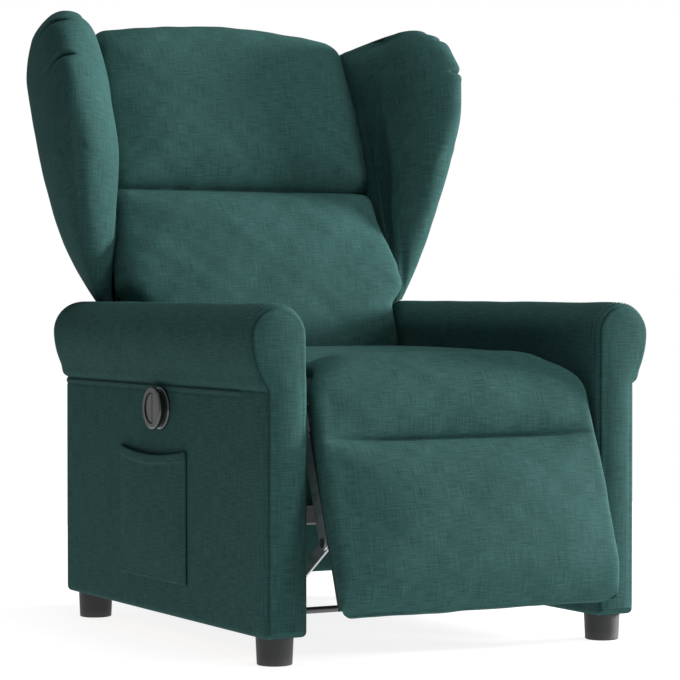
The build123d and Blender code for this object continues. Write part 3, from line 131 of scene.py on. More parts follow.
# Feet: four tapered discs moulded in charcoal plastic, each held by a steel bolt up into the arm frame.
# The moulding has a fine matt grain and a little floor dust towards its lower edge.
class Shade:
    """One socket of a finish. Sums on it add Math nodes; make() adds any other node."""

    def __init__(self, tree, socket=None):
        self.tree, self.socket = tree, socket

    def make(self, kind, settings, sockets, out=0):
        node = self.tree.nodes.new(kind)
        for name, value in settings.items():
            setattr(node, name, value)
        for name, value in sockets.items():
            if isinstance(value, Shade):
                self.tree.links.new(value.socket, node.inputs[name])
            else:
                node.inputs[name].default_value = value
        return Shade(self.tree, node.outputs[out])

    def sum(self, operation, a, b):
        return self.make("ShaderNodeMath", {"operation": operation}, {0: a, 1: b})

    def __add__(self, other):
        return self.sum("ADD", self, other)

    def __radd__(self, other):
        return self.sum("ADD", other, self)

    def __sub__(self, other):
        return self.sum("SUBTRACT", self, other)

    def __rsub__(self, other):
        return self.sum("SUBTRACT", other, self)

    def __mul__(self, other):
        return self.sum("MULTIPLY", self, other)

    def __rmul__(self, other):
        return self.sum("MULTIPLY", other, self)

    def on_object(self):
        return self.make("ShaderNodeTexCoord", {}, {}, "Object")

    def stretched(self, scale):
        return self.make("ShaderNodeMapping", {}, {"Vector": self, "Scale": scale})

    def noise(self, scale, detail=2.0):
        return self.make("ShaderNodeTexNoise", {}, {"Vector": self, "Scale": scale, "Detail": detail})

    def between(self, low, high):
        """0 below low, 1 above high."""
        return self.make("ShaderNodeMapRange", {}, {"Value": self, "From Min": low, "From Max": high})

    def tint(self, dark, light):
        return self.make("ShaderNodeMix", {"data_type": "RGBA"}, {0: self, 6: (*dark, 1), 7: (*light, 1)}, 2)

    def bump(self, depth, strength=0.5):
        return self.make("ShaderNodeBump", {}, {"Height": self, "Distance": depth, "Strength": strength})


def finish(name, recipe, **plain):
    """A finish: recipe gives the sockets that vary, plain the values that are the same all over."""
    made = bpy.data.materials.new(name)
    made.use_nodes = True
    shader = made.node_tree.nodes["Principled BSDF"]
    for socket, value in recipe(Shade(made.node_tree)).items():
        made.node_tree.links.new(value.socket, shader.inputs[socket])
    sockets = {socket.name.lower().replace(" ", "_"): socket for socket in shader.inputs}
    for socket, value in plain.items():
        sockets[socket].default_value = value
    return made


def dress(made, *nodes):
    """Puts a finish on pieces that keep their drawn shape."""
    for name in nodes:
        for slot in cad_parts[name].material_slots:
            slot.material = made


def foot_grain(s):
    place = s.on_object()
    grain = place.noise(900, 1)
    height = s.make("ShaderNodeSeparateXYZ", {}, {0: place}, 2)
    dust = (1 - height.between(0.0, 0.016)) * place.noise(70)
    return {"Base Color": dust.tint((0.013, 0.014, 0.015), (0.070, 0.068, 0.066)),
            "Roughness": 0.48 + 0.14 * grain, "Normal": grain.bump(0.0002, 0.4)}


dress(finish("foot_plastic", foot_grain),
      "front_left_foot", "front_right_foot", "rear_left_foot", "rear_right_foot")


def bare_steel(s):
    place = s.on_object()
    streak = place.stretched((260, 260, 40)).noise(1)
    worn = place.noise(60)
    return {"Base Color": worn.tint((0.30, 0.30, 0.31), (0.46, 0.46, 0.47)), "Roughness": 0.28 + 0.2 * streak,
            "Normal": streak.bump(0.0001, 0.3)}


pin_steel = finish("pin_steel", bare_steel, metallic=1.0)
dress(pin_steel, "foot_bolts")


# Arm frames: sawn softwood boards glued and stapled into a box inside each arm, never seen once covered.
# The grain runs along the boards, with darker late wood.
def sawn_wood(s):
    place = s.on_object()
    ring = place.stretched((38, 5, 38)).noise(1, 4)
    fibre = place.stretched((500, 30, 500)).noise(1)
    return {"Base Color": (0.7 * ring + 0.3 * fibre).tint((0.36, 0.22, 0.10), (0.70, 0.52, 0.31)),
            "Roughness": 0.62 + 0.2 * fibre, "Normal": fibre.bump(0.0004, 0.4)}


frame_wood = finish("frame_wood", sawn_wood)
dress(frame_wood, "left_arm_frame", "right_arm_frame")


# Arm covers: foam over the frame, under dark green linen-look cloth that rolls over the top and is sewn
# to the flat side panel in a double seam under the roll. The cloth is pulled tight, so it hardly wrinkles.
def green_linen(s):
    weave = s.make("ShaderNodeUVMap", {"uv_map": "weave"}, {})
    weft = weave.stretched((34, 640, 1)).noise(1, 1)
    warp = weave.stretched((640, 26, 1)).noise(1, 1)
    fine = weave.noise(1100, 1)
    cloud = weave.noise(16, 3)
    thread = 0.55 * weft + 0.45 * warp
    shade = (2.8 * (thread - 0.5) + 0.5) * 0.64 + 0.16 * cloud + 0.20 * fine
    height = thread + 0.35 * fine
    return {"Base Color": shade.tint((0.0120, 0.0350, 0.0325), (0.0400, 0.1120, 0.1040)),
            "Roughness": 0.74 + 0.2 * thread, "Normal": height.bump(0.0009, 0.45)}


upholstery = finish("upholstery", green_linen, specular_ior_level=0.06, sheen_weight=0.02,
                    sheen_roughness=0.5, sheen_tint=(0.30, 0.80, 0.75, 1))


def shell(*counts):
    """Outside of a block of cells: the grid places of its points, and its quads."""
    places, index, quads = [], {}, []

    def at(place):
        if place not in index:
            index[place] = len(places)
            places.append(place)
        return index[place]

    for axis in range(3):
        b, c = (axis + 1) % 3, (axis + 2) % 3
        for end in (0, counts[axis]):
            for i in range(counts[b]):
                for j in range(counts[c]):
                    quad = []
                    for p, q in ((i, j), (i + 1, j), (i + 1, j + 1), (i, j + 1)):
                        place = [0, 0, 0]
                        place[axis], place[b], place[c] = end, p, q
                        quad.append(at(tuple(place)))
                    quads.append(quad)
    return np.array(places), quads


def sewn_piece(name, points, quads):
    """A closed cover as an object, with its faces outwards."""
    mesh = bpy.data.meshes.new(name)
    mesh.from_pydata([tuple(p) for p in points], [], quads)
    work = bmesh.new()
    work.from_mesh(mesh)
    bmesh.ops.recalc_face_normals(work, faces=work.faces)
    work.to_mesh(mesh)
    work.free()
    return put(name, mesh)


def points_of(mesh):
    flat = np.empty(len(mesh.vertices) * 3, np.float32)
    mesh.vertices.foreach_get("co", flat)
    return flat.reshape(-1, 3).astype(float)


def settled(piece, modifier):
    """Makes a modifier's result the piece's own mesh."""
    done = bpy.data.meshes.new_from_object(piece.evaluated_get(bpy.context.evaluated_depsgraph_get()))
    piece.modifiers.remove(modifier)
    piece.data = done
    done.shade_smooth()
    return done


def lay_weave(mesh, axes):
    """Weave map in metres, laid flat on the side that each face looks to."""
    count = len(mesh.polygons)
    normals = np.empty(count * 3, np.float32)
    mesh.polygons.foreach_get("normal", normals)
    sides = np.abs(normals.reshape(-1, 3) @ axes.T).argmax(axis=1)
    sizes = np.empty(count, np.int32)
    mesh.polygons.foreach_get("loop_total", sizes)
    corners = np.empty(len(mesh.loops), np.int32)
    mesh.loops.foreach_get("vertex_index", corners)
    local = (points_of(mesh) @ axes.T)[corners]
    side = np.repeat(sides, sizes)
    u = np.where(side == 0, local[:, 1], local[:, 0])
    v = np.where(side == 2, local[:, 1], local[:, 2])
    layer = mesh.uv_layers.new(name="weave")
    layer.data.foreach_set("uv", np.column_stack([u, v]).astype(np.float32).ravel())


def close_cover(piece, body, made, axes=np.eye(3), *, replaced=(), rumple=0.0):
    """Smooths a cover once, rumples it a little, lays its weave, and fixes it to its body."""
    smooth = piece.modifiers.new("smooth", "SUBSURF")
    smooth.levels = smooth.render_levels = 1
    done = settled(piece, smooth)
    done.name = piece.name
    if rumple:
        rest = points_of(done)
        outward = np.empty(rest.size, np.float32)
        done.vertices.foreach_get("normal", outward)
        waves = ripple(rest, 0.17, 11) + 0.4 * ripple(rest, 0.06, 12)
        rest += outward.reshape(-1, 3) * (rumple * waves)[:, None]
        done.vertices.foreach_set("co", rest.astype(np.float32).ravel())
        done.update()
    lay_weave(done, axes)
    done.materials.clear()
    done.materials.append(made)
    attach(piece, body)
    if replaced:
        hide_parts(*replaced)


def ripple(points, length, seed):
    """Slow waves of about one unit, for cloth that is never quite even."""
    pick = np.random.default_rng(seed)
    total = np.zeros(len(points))
    for _ in range(7):
        way = pick.normal(size=3)
        way *= 2 * math.pi / length / np.linalg.norm(way) * pick.uniform(0.6, 1.5)
        total += np.sin(points @ way + pick.uniform(0, 6.28))
    return total / 3.5


def arc(centre, radius, start, end, count):
    turn = np.radians(np.linspace(start, end, count + 1))
    return np.column_stack([centre[0] + radius * np.cos(turn), centre[1] + radius * np.sin(turn)])


def run(start, end, count):
    return np.linspace(start, end, count + 1)


def joined(*lines):
    return np.concatenate([lines[0]] + [line[1:] for line in lines[1:]])


def drawn_in(line, distance, inward):
    """A line moved sideways; inward is 1 for the right of its way and -1 for the left."""
    way = np.gradient(line, axis=0)
    way /= np.linalg.norm(way, axis=1)[:, None]
    return line + inward * distance * np.column_stack([way[:, 1], -way[:, 0]])


def patch(left, right, low, high, a, b):
    """Point of a section between four edges: a runs from left to right, b from low to high."""
    s = a / (len(low) - 1)
    t = b / (len(left) - 1)
    s, t = s[:, None], t[:, None]
    corners = ((1 - s) * (1 - t) * left[0] + s * (1 - t) * right[0]
               + (1 - s) * t * left[-1] + s * t * right[-1])
    return (1 - s) * left[b] + s * right[b] + (1 - t) * low[a] + t * high[a] - corners


ARM_INNER, ARM_OUTER = 0.271, 0.348
ARM_EDGE, ARM_EDGE_TOP = 0.008, 0.052       # rounding of the lower edges, and where it ends
ARM_ROLL = (0.324, 0.512)
ARM_ROLL_RADIUS = 0.053
ARM_SEAM, ARM_WELT = 0.430, 0.4128          # height of the seam under the roll, and of the strip below it
UNDER_ROLL, UNDER_RADIUS = (0.2961, 0.5141), 0.0809     # arc of the cloth under the roll
ARM_ACROSS, ARM_UP = 8, 55                  # cells across and up the section
ARM_CREASE = 41                             # row of the seam on the outer edge


def arm_edges(inset):
    """Inner, outer, lower and upper edges of a right arm's section in (x, z)."""
    inner = joined(arc((ARM_INNER + ARM_EDGE, ARM_EDGE_TOP), ARM_EDGE, 270, 180, 3),
                   run((ARM_INNER, ARM_EDGE_TOP), (ARM_INNER, ARM_ROLL[1]), 46),
                   arc(ARM_ROLL, ARM_ROLL_RADIUS, 180, 120, 6))
    seam, widest = np.array([ARM_OUTER, ARM_SEAM]), np.array([ARM_ROLL[0] + ARM_ROLL_RADIUS, ARM_ROLL[1]])
    under = arc(UNDER_ROLL, UNDER_RADIUS, -1.5, -50.0, 8)[::-1]
    under += (seam - under[0]) * np.linspace(1, 0, 9)[:, None]
    under += (widest - under[-1]) * np.linspace(0, 1, 9)[:, None]
    outer = joined(arc((ARM_OUTER - ARM_EDGE, ARM_EDGE_TOP), ARM_EDGE, 270, 360, 3),
                   run((ARM_OUTER, ARM_EDGE_TOP), (ARM_OUTER, ARM_WELT), 32),
                   run((ARM_OUTER, ARM_WELT), seam, 6), under,
                   arc(ARM_ROLL, ARM_ROLL_RADIUS, 0, 60, 6))
    low = run(inner[0], outer[0], ARM_ACROSS)
    high = arc(ARM_ROLL, ARM_ROLL_RADIUS, 120, 60, ARM_ACROSS)
    inner, outer = drawn_in(inner, inset, 1), drawn_in(outer, inset, -1)
    low, high = drawn_in(low, inset, -1), drawn_in(high, inset, 1)
    low[0], low[-1], high[0], high[-1] = inner[0], outer[0], inner[-1], outer[-1]
    return inner, outer, low, high


TOP_STITCH = (0.0018, 0.0010)     # half width and depth of the groove behind the front panel


def rolled_ends(front, rear, front_round, rear_round, step):
    """Stations along an arm: how far along, and how far its section is drawn in, also by a top-stitch."""
    turns = np.radians([90, 62, 38, 16])
    ahead = [(front + front_round * (1 - math.sin(t)), front_round * (1 - math.cos(t))) for t in turns]
    behind = [(rear - rear_round * (1 - math.sin(t)), rear_round * (1 - math.cos(t))) for t in turns[::-1]]
    start, end = front + front_round, rear - rear_round
    sewn = [(start, 0.0), (start + TOP_STITCH[0], TOP_STITCH[1]), (start + 2 * TOP_STITCH[0], 0.0)]
    middle = [(y, 0.0) for y in np.linspace(start + step, end, round((end - start) / step))]
    return ahead + sewn + middle + behind


def arm_body(stations, puff):
    """Points and quads of an arm or its front panel, for the right side."""
    places, quads = shell(ARM_ACROSS, ARM_UP, len(stations) - 1)
    points = np.empty((len(places), 3))
    for k, (y, inset) in enumerate(stations):
        at = np.flatnonzero(places[:, 2] == k)
        spot = patch(*arm_edges(inset), places[at, 0], places[at, 1])
        points[at] = np.column_stack([spot[:, 0], np.full(len(at), y), spot[:, 1]])
    puff(places, points)
    return points, quads


ARM_FRONT, ARM_REAR = -0.4185, 0.364
ARM_FRONT_ROUND, ARM_REAR_ROUND, ARM_STEP = 0.0095, 0.014, 0.010
WELT_END = -0.338           # the lap under the roll stops short of the front panel in a tuck
WELT_ROWS = ((-4, -0.0010), (-3, 0.0010), (-2, 0.0014), (-1, 0.0008), (0, -0.0040))     # row, and how far out


def panel_swell(y, b):
    """How far the side panel stands out at y and row b."""
    along = np.clip((y - ARM_FRONT) / (ARM_REAR - ARM_FRONT), 0, 1)
    return 0.0022 * np.sin(math.pi * along) ** 0.5 * np.clip(np.sin(math.pi * (b - 2) / 39), 0, 1) ** 0.5


def arm_puff(places, points):
    """Side panel swells, the roll laps over it in a welt, and the roll tightens at its ends."""
    a, b, y = places[:, 0], places[:, 1], points[:, 1]
    outer = a == ARM_ACROSS
    panel = outer & (b > 2) & (b < ARM_CREASE)
    points[panel, 0] += panel_swell(y, b)[panel]
    lap = np.clip((y - WELT_END) / 0.006, 0, 1)
    for row, out in WELT_ROWS:
        at = outer & (b == ARM_CREASE + row)
        points[at, 0] += out * (np.where(row == 0, 0.6 + 0.4 * lap, lap))[at]
    near = outer & (b == ARM_CREASE + 1)
    points[near] += np.array([0.0032, 0, -0.0062])
    roll = b > ARM_CREASE + 1
    wave = ripple(points, 0.16, 3)
    tight = np.exp(-((y - ARM_FRONT - 0.011) / 0.010) ** 2)
    rear = np.clip((y - ARM_REAR + 0.030) / 0.030, 0, 1)
    away = points[:, [0, 2]] - np.array(ARM_ROLL)
    away /= np.maximum(np.linalg.norm(away, axis=1), 1e-6)[:, None]
    push = np.where(roll, 0.0007 * wave - 0.0012 * tight - 0.012 * (1 - np.sqrt(1 - rear ** 2)), 0.0)
    points[:, [0, 2]] += away * push[:, None]


arm_stations = rolled_ends(ARM_FRONT, ARM_REAR, ARM_FRONT_ROUND, ARM_REAR_ROUND, ARM_STEP)
arm_points, arm_quads = arm_body(arm_stations, arm_puff)
for side, name in ((1, "right"), (-1, "left")):
    cover = sewn_piece(f"{name}_arm_linen", arm_points * (side, 1, 1), arm_quads)
    close_cover(cover, "base", upholstery, replaced=(f"{name}_arm_cover",))


# Arm front panels: padded boards in the same cloth, cut to the arm's keyhole section, with a soft rounded
# rim. Each is pressed on to studs in the arm frame after the cover is stapled down.
FRONT_STATIONS = [(-0.4238, 0.0150), (-0.4234, 0.0105), (-0.4222, 0.0078), (-0.4206, 0.0068),
                  (-0.4190, 0.0078), (-0.4176, 0.0098), (-0.4140, 0.0105), (-0.4060, 0.0110)]     # y, inset
FRONT_SWELL = 0.0040


def front_panel_puff(places, points):
    front = places[:, 2] == 0
    s = places[:, 0] / ARM_ACROSS
    t = places[:, 1] / ARM_UP
    swell = np.clip(np.sin(math.pi * s), 0, 1) ** 0.7 * np.clip(np.sin(math.pi * t), 0, 1) ** 0.35
    points[front, 1] -= (FRONT_SWELL * swell)[front]
    points[:, 1] += np.where(front, 0.0004 * ripple(points, 0.11, 5), 0.0)


panel_points, panel_quads = arm_body(FRONT_STATIONS, front_panel_puff)
for side, name in ((1, "right"), (-1, "left")):
    panel = sewn_piece(f"{name}_arm_front_linen", panel_points * (side, 1, 1), panel_quads)
    close_cover(panel, "base", upholstery, replaced=(f"{name}_arm_front_panel",))


# Side pocket: one piece of the cover cloth with a turned hem along its hollow top edge, top-stitched to the
# left arm on three sides. It stands off the arm where a hand or a magazine goes in.
POCKET_FRONT, POCKET_REAR, POCKET_LOW, POCKET_HIGH, POCKET_DIP = -0.147, 0.110, 0.101, 0.322, 0.011
POCKET_SKIN = 0.0022
POCKET_FACE, POCKET_GAP = -0.3482, 0.0028     # the arm's side, and how far off it the cloth is sewn
POCKET_SLACK, POCKET_HEM = 0.0050, 0.016
POCKET_COLUMNS, POCKET_ROWS = 44, 60


def pocket_point(s, t, lift):
    """Point of the pocket: s from its front edge to its rear one, t from its foot to its hem."""
    y = POCKET_FRONT + s * (POCKET_REAR - POCKET_FRONT)
    top = POCKET_HIGH - POCKET_DIP * (1 - (2 * s - 1) ** 2)
    z = POCKET_LOW + t * (top - POCKET_LOW)
    slack = POCKET_SLACK * (1 - np.abs(2 * s - 1) ** 5) * (1 - (1 - t) ** 5)
    slack = slack + 0.0006 * np.sin(9 * s + 2.0) * np.sin(math.pi * s) * t
    hem = 0.0016 * np.clip((z - top + POCKET_HEM) / 0.002, 0, 1)
    swell = 0.0016 * np.sin(math.pi * np.clip(t, 0, 1)) * np.sin(math.pi * s)
    x = POCKET_FACE - POCKET_GAP - slack - hem * (lift > 0) - swell - lift
    return np.column_stack([x, y, z])


pocket_places, pocket_quads = shell(1, POCKET_COLUMNS, POCKET_ROWS)
pocket_points = pocket_point(pocket_places[:, 1] / POCKET_COLUMNS, pocket_places[:, 2] / POCKET_ROWS,
                             pocket_places[:, 0] * POCKET_SKIN)
pocket = sewn_piece("side_pocket_linen", pocket_points, pocket_quads)
close_cover(pocket, "base", upholstery, replaced=("side_pocket",))


# Stitching: twin-needle thread in the cloth's own green, along the seam under each roll, behind each front
# panel and round the pocket. Each stitch is a short plump loop that sits in the cloth.
def thread_twist(s):
    twist = s.on_object().noise(900, 1)
    return {"Base Color": twist.tint((0.018, 0.052, 0.048), (0.060, 0.150, 0.136)),
            "Roughness": 0.5 + 0.2 * twist, "Normal": twist.bump(0.0002, 0.3)}


thread = finish("thread", thread_twist)


def stitch_tree():
    """Geometry Nodes: loops of thread at an even pitch along every edge of a path."""
    tree = bpy.data.node_groups.new("stitch_row", "GeometryNodeTree")
    tree.interface.new_socket("Path", in_out="INPUT", socket_type="NodeSocketGeometry")
    for label, size in (("Pitch", 0.0062), ("Stitch Length", 0.0044), ("Thread", 0.0010)):
        tree.interface.new_socket(label, in_out="INPUT", socket_type="NodeSocketFloat").default_value = size
    tree.interface.new_socket("Colour", in_out="INPUT", socket_type="NodeSocketMaterial")
    tree.interface.new_socket("Stitches", in_out="OUTPUT", socket_type="NodeSocketGeometry")
    add, link = tree.nodes.new, tree.links.new
    start, end = add("NodeGroupInput"), add("NodeGroupOutput")
    line = add("GeometryNodeMeshToCurve")
    evenly = add("GeometryNodeResampleCurve")
    evenly.mode = "LENGTH"
    loop = add("GeometryNodeMeshUVSphere")
    loop.inputs["Segments"].default_value = 6
    loop.inputs["Rings"].default_value = 4
    loop.inputs["Radius"].default_value = 0.5
    size = add("ShaderNodeCombineXYZ")
    tangent = add("GeometryNodeInputTangent")
    turn = add("FunctionNodeAlignRotationToVector")
    turn.axis = "X"
    sew = add("GeometryNodeInstanceOnPoints")
    real = add("GeometryNodeRealizeInstances")
    colour = add("GeometryNodeSetMaterial")
    link(start.outputs["Path"], line.inputs["Mesh"])
    link(line.outputs["Curve"], evenly.inputs["Curve"])
    link(start.outputs["Pitch"], evenly.inputs["Length"])
    link(start.outputs["Stitch Length"], size.inputs["X"])
    link(start.outputs["Thread"], size.inputs["Y"])
    link(start.outputs["Thread"], size.inputs["Z"])
    link(tangent.outputs[0], turn.inputs["Vector"])
    link(evenly.outputs["Curve"], sew.inputs["Points"])
    link(loop.outputs["Mesh"], sew.inputs["Instance"])
    link(turn.outputs[0], sew.inputs["Rotation"])
    link(size.outputs[0], sew.inputs["Scale"])
    link(sew.outputs[0], real.inputs[0])
    link(real.outputs[0], colour.inputs["Geometry"])
    link(start.outputs["Colour"], colour.inputs["Material"])
    link(colour.outputs[0], end.inputs[0])
    return tree


stitch_row = stitch_tree()


def stitched(name, paths, body):
    """Stitches along paths, each a list of points, as one plain mesh on one body."""
    points, edges = [], []
    for path in paths:
        edges += [(len(points) + i, len(points) + i + 1) for i in range(len(path) - 1)]
        points += [tuple(p) for p in path]
    line = bpy.data.meshes.new(name)
    line.from_pydata(points, edges, [])
    piece = put(name, line)
    sewing = piece.modifiers.new("sewing", "NODES")
    sewing.node_group = stitch_row
    for item in stitch_row.interface.items_tree:
        if item.in_out == "INPUT" and item.name == "Colour":
            sewing[item.identifier] = thread
    settled(piece, sewing)
    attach(piece, body)


def seam_under_roll(side):
    """Along the welt under a roll, up to its tuck."""
    y = np.linspace(WELT_END + 0.004, ARM_REAR - 0.02, 60)
    x = side * (ARM_OUTER + 0.0017 + panel_swell(y, ARM_CREASE - 2))
    return np.column_stack([x, y, np.full(60, ARM_SEAM - 0.0053)])


def seam_behind_panel(side):
    """Up the outer side, round the roll and down the inner side of an arm, just behind its front panel."""
    inner, outer, low, high = arm_edges(0.0004)
    ring = joined(outer[3:38], outer[44:], high[::-1], inner[3:][::-1])
    return np.column_stack([side * ring[:, 0], np.full(len(ring), ARM_FRONT + 0.0113), ring[:, 1]])


SEWN_IN = 0.004             # of the pocket's stitches from its edge
inset = SEWN_IN / (POCKET_REAR - POCKET_FRONT)
foot_line = SEWN_IN / (POCKET_HIGH - POCKET_LOW)
hem_line = 1 - (POCKET_HEM - 0.0005) / (POCKET_HIGH - POCKET_LOW)
up = np.linspace(foot_line, 0.985, 40)
across = np.linspace(inset, 1 - inset, 40)
round_pocket = joined(np.column_stack([np.full(40, inset), up[::-1]]),
                      np.column_stack([across, np.full(40, foot_line)]),
                      np.column_stack([np.full(40, 1 - inset), up]))
hem_path = np.column_stack([across, np.full(40, hem_line)])
pocket_paths = [pocket_point(path[:, 0], path[:, 1], np.full(len(path), POCKET_SKIN + 0.0002))
                for path in (round_pocket, hem_path)]
arm_paths = [seam(side) for side in (1, -1) for seam in (seam_under_roll, seam_behind_panel)]
stitched("base_stitching", pocket_paths + arm_paths, "base")


# Round switch: a turned case in gunmetal-coloured gloss plastic with two half-moon keys, pushed into a hole
# in the left arm. Its lead runs down inside the arm to the control box.
def gunmetal(s):
    place = s.on_object()
    turned = place.stretched((1500, 60, 60)).noise(1)
    smear = place.noise(45)
    return {"Base Color": smear.tint((0.052, 0.055, 0.058), (0.095, 0.099, 0.104)),
            "Roughness": 0.20 + 0.10 * smear, "Normal": turned.bump(0.00005, 0.2)}


dress(finish("switch_gloss", gunmetal, metallic=0.85, coat_weight=0.5), "switch_housing")


def key_gloss(s):
    smear = s.on_object().noise(70)
    return {"Base Color": smear.tint((0.020, 0.021, 0.023), (0.042, 0.044, 0.047)),
            "Roughness": 0.16 + 0.14 * smear}


dress(finish("button_gloss", key_gloss, coat_weight=0.6), "open_button", "close_button")


def sheath(s):
    grain = s.on_object().noise(1200, 1)
    return {"Base Color": grain.tint((0.012, 0.012, 0.013), (0.030, 0.030, 0.032)),
            "Roughness": 0.5 + 0.2 * grain, "Normal": grain.bump(0.0001, 0.3)}


dress(finish("lead_sheath", sheath), "switch_lead", "motor_lead")


# Base: pressed-steel tracks bolted inside the arms, a square tube across the rear, a round bar low at the
# front, and the linear actuator with its motor and control box. Zinc plating has a cloudy spangle.
def zinc(s):
    place = s.on_object()
    spangle = s.make("ShaderNodeTexVoronoi", {}, {"Vector": place, "Scale": 90.0}, "Color")
    patchy = s.make("ShaderNodeSeparateColor", {}, {0: spangle}, 0)
    dull = place.noise(25)
    return {"Base Color": (0.6 * patchy + 0.4 * dull).tint((0.52, 0.54, 0.56), (0.78, 0.80, 0.82)),
            "Roughness": 0.30 + 0.22 * patchy, "Normal": dull.bump(0.0002, 0.2)}


zinc_steel = finish("zinc_steel", zinc, metallic=0.75)


def black_steel(s):
    place = s.on_object()
    peel = place.noise(420, 2)
    worn = place.noise(30)
    return {"Base Color": worn.tint((0.014, 0.014, 0.015), (0.040, 0.040, 0.042)),
            "Roughness": 0.34 + 0.2 * peel, "Normal": peel.bump(0.0002, 0.4)}


track_steel = finish("track_steel", black_steel, metallic=0.3)
dress(track_steel, "left_base_rail", "right_base_rail")
dress(pin_steel, "rail_bolts", "motor_pin", "rod_pin")
dress(zinc_steel, "rear_cross_tube")


def bar_black(s):
    place = s.on_object()
    draw = place.stretched((20, 700, 700)).noise(1)
    return {"Base Color": draw.tint((0.10, 0.10, 0.105), (0.20, 0.20, 0.21)), "Roughness": 0.34 + 0.2 * draw,
            "Normal": draw.bump(0.0001, 0.3)}


dress(finish("bar_steel", bar_black, metallic=0.9), "front_stretcher_bar", "drive_bar", "torque_tube")


def moulded_black(s):
    place = s.on_object()
    grain = place.noise(650, 2)
    dust = place.noise(22)
    return {"Base Color": dust.tint((0.014, 0.014, 0.015), (0.034, 0.034, 0.035)),
            "Roughness": 0.42 + 0.2 * grain, "Normal": grain.bump(0.0003, 0.4)}


dress(finish("case_plastic", moulded_black), "control_box", "power_inlet", "motor_housing", "actuator_tube")


def drawn_rod(s):
    line = s.on_object().stretched((900, 30, 900)).noise(1)
    return {"Base Color": line.tint((0.62, 0.62, 0.63), (0.78, 0.78, 0.79)), "Roughness": 0.16 + 0.16 * line,
            "Normal": line.bump(0.00005, 0.2)}


dress(finish("rod_steel", drawn_rod, metallic=1.0), "actuator_rod")


# Rear base panel: a thin padded board in the cover cloth that closes the base behind the seat, held by
# spring clips between the arms. The motor's socket sits in it.
def soft_block(half, radius, step):
    """Rounded block about its middle: rounded points, the same points before rounding, and quads."""
    half = np.array(half)
    counts = [max(3, round(2 * h / step)) for h in half]
    places, quads = shell(*counts)
    flat = (places / np.array(counts) * 2 - 1) * half
    core = np.clip(flat, -(half - radius), half - radius)
    away = flat - core
    away /= np.maximum(np.linalg.norm(away, axis=1), 1e-9)[:, None]
    return core + away * radius, flat, quads


BOARD_HALF = (0.2690, 0.0108, 0.1090)
BOARD_MIDDLE = (0, 0.353, 0.1605)
BOARD_SWELL = 0.0035
points, flat, quads = soft_block(BOARD_HALF, 0.0075, 0.011)
crown = BOARD_SWELL * (1 - (flat[:, 0] / BOARD_HALF[0]) ** 4) * (1 - (flat[:, 2] / BOARD_HALF[2]) ** 4)
points[:, 1] += np.where(flat[:, 1] > 0, crown, 0)
points += BOARD_MIDDLE
rear_board = sewn_piece("rear_base_linen", points, quads)
close_cover(rear_board, "base", upholstery, replaced=("rear_base_panel",))


# Seat platform: a softwood frame wrapped in dust cloth, on steel side plates that hang on nylon glides in
# the tracks, with five sinuous springs across it. The plates also carry the footrest and back hinges.
dress(zinc_steel, "left_seat_plate", "right_seat_plate", "seat_hangers")
dress(pin_steel, "seat_pivot_pins")


def dust_cloth(s):
    place = s.on_object()
    felt = place.noise(700, 2)
    dots = place.stretched((420, 420, 420)).noise(1, 0)
    return {"Base Color": (0.6 * felt + 0.4 * dots).tint((0.010, 0.028, 0.026), (0.030, 0.084, 0.078)),
            "Roughness": 0.82 + 0.12 * felt, "Normal": felt.bump(0.0003, 0.4)}


lining = finish("dust_cloth", dust_cloth)
dress(lining, "seat_front_rail", "seat_rear_rail", "seat_side_rails")


def moulded_nylon(s):
    cloud = s.on_object().noise(60)
    return {"Base Color": cloud.tint((0.62, 0.61, 0.57), (0.76, 0.75, 0.71)),
            "Roughness": 0.34 + 0.14 * cloud, "Normal": cloud.bump(0.0002, 0.2)}


dress(finish("nylon", moulded_nylon), "seat_glides")


def oiled_wire(s):
    place = s.on_object()
    film = place.noise(120)
    return {"Base Color": film.tint((0.05, 0.05, 0.055), (0.16, 0.15, 0.15)),
            "Roughness": 0.25 + 0.25 * film, "Normal": film.bump(0.0001, 0.2)}


dress(finish("spring_steel", oiled_wire, metallic=0.9), "seat_springs")


# Seat cushion: a thick foam block in a boxed linen cover, hollowed at its front edge so that the footrest's
# roll can turn against it. It is sewn to the platform round its foot.
FILL_PRESSURE, FILL_FRAMES = 4.0, 20


def stuff(piece, sewn, swell):
    """Fills a cover: pressure swells it, sewn points stay, and none moves further than swell."""
    rest = points_of(piece.data)
    group = piece.vertex_groups.new(name="sewn")
    for i in np.flatnonzero(sewn > 0.01):
        group.add([int(i)], float(sewn[i]), "REPLACE")
    filling = piece.modifiers.new("filling", "CLOTH")
    filling.settings.vertex_group_mass = "sewn"
    filling.settings.use_pressure = True
    filling.settings.uniform_pressure_force = FILL_PRESSURE
    filling.settings.effector_weights.gravity = 0
    filling.settings.quality = 6
    filling.point_cache.frame_start = 1
    filling.point_cache.frame_end = FILL_FRAMES
    for number in range(1, FILL_FRAMES + 1):
        bpy.context.scene.frame_set(number)
    swelled = points_of(piece.evaluated_get(bpy.context.evaluated_depsgraph_get()).data)
    piece.modifiers.remove(filling)
    piece.vertex_groups.remove(group)
    bpy.context.scene.frame_set(1)
    move = swelled - rest
    far = np.maximum(np.linalg.norm(move, axis=1), 1e-9)
    done = rest + move * (swell * np.tanh(far / swell) / far)[:, None]
    piece.data.vertices.foreach_set("co", done.astype(np.float32).ravel())
    piece.data.update()


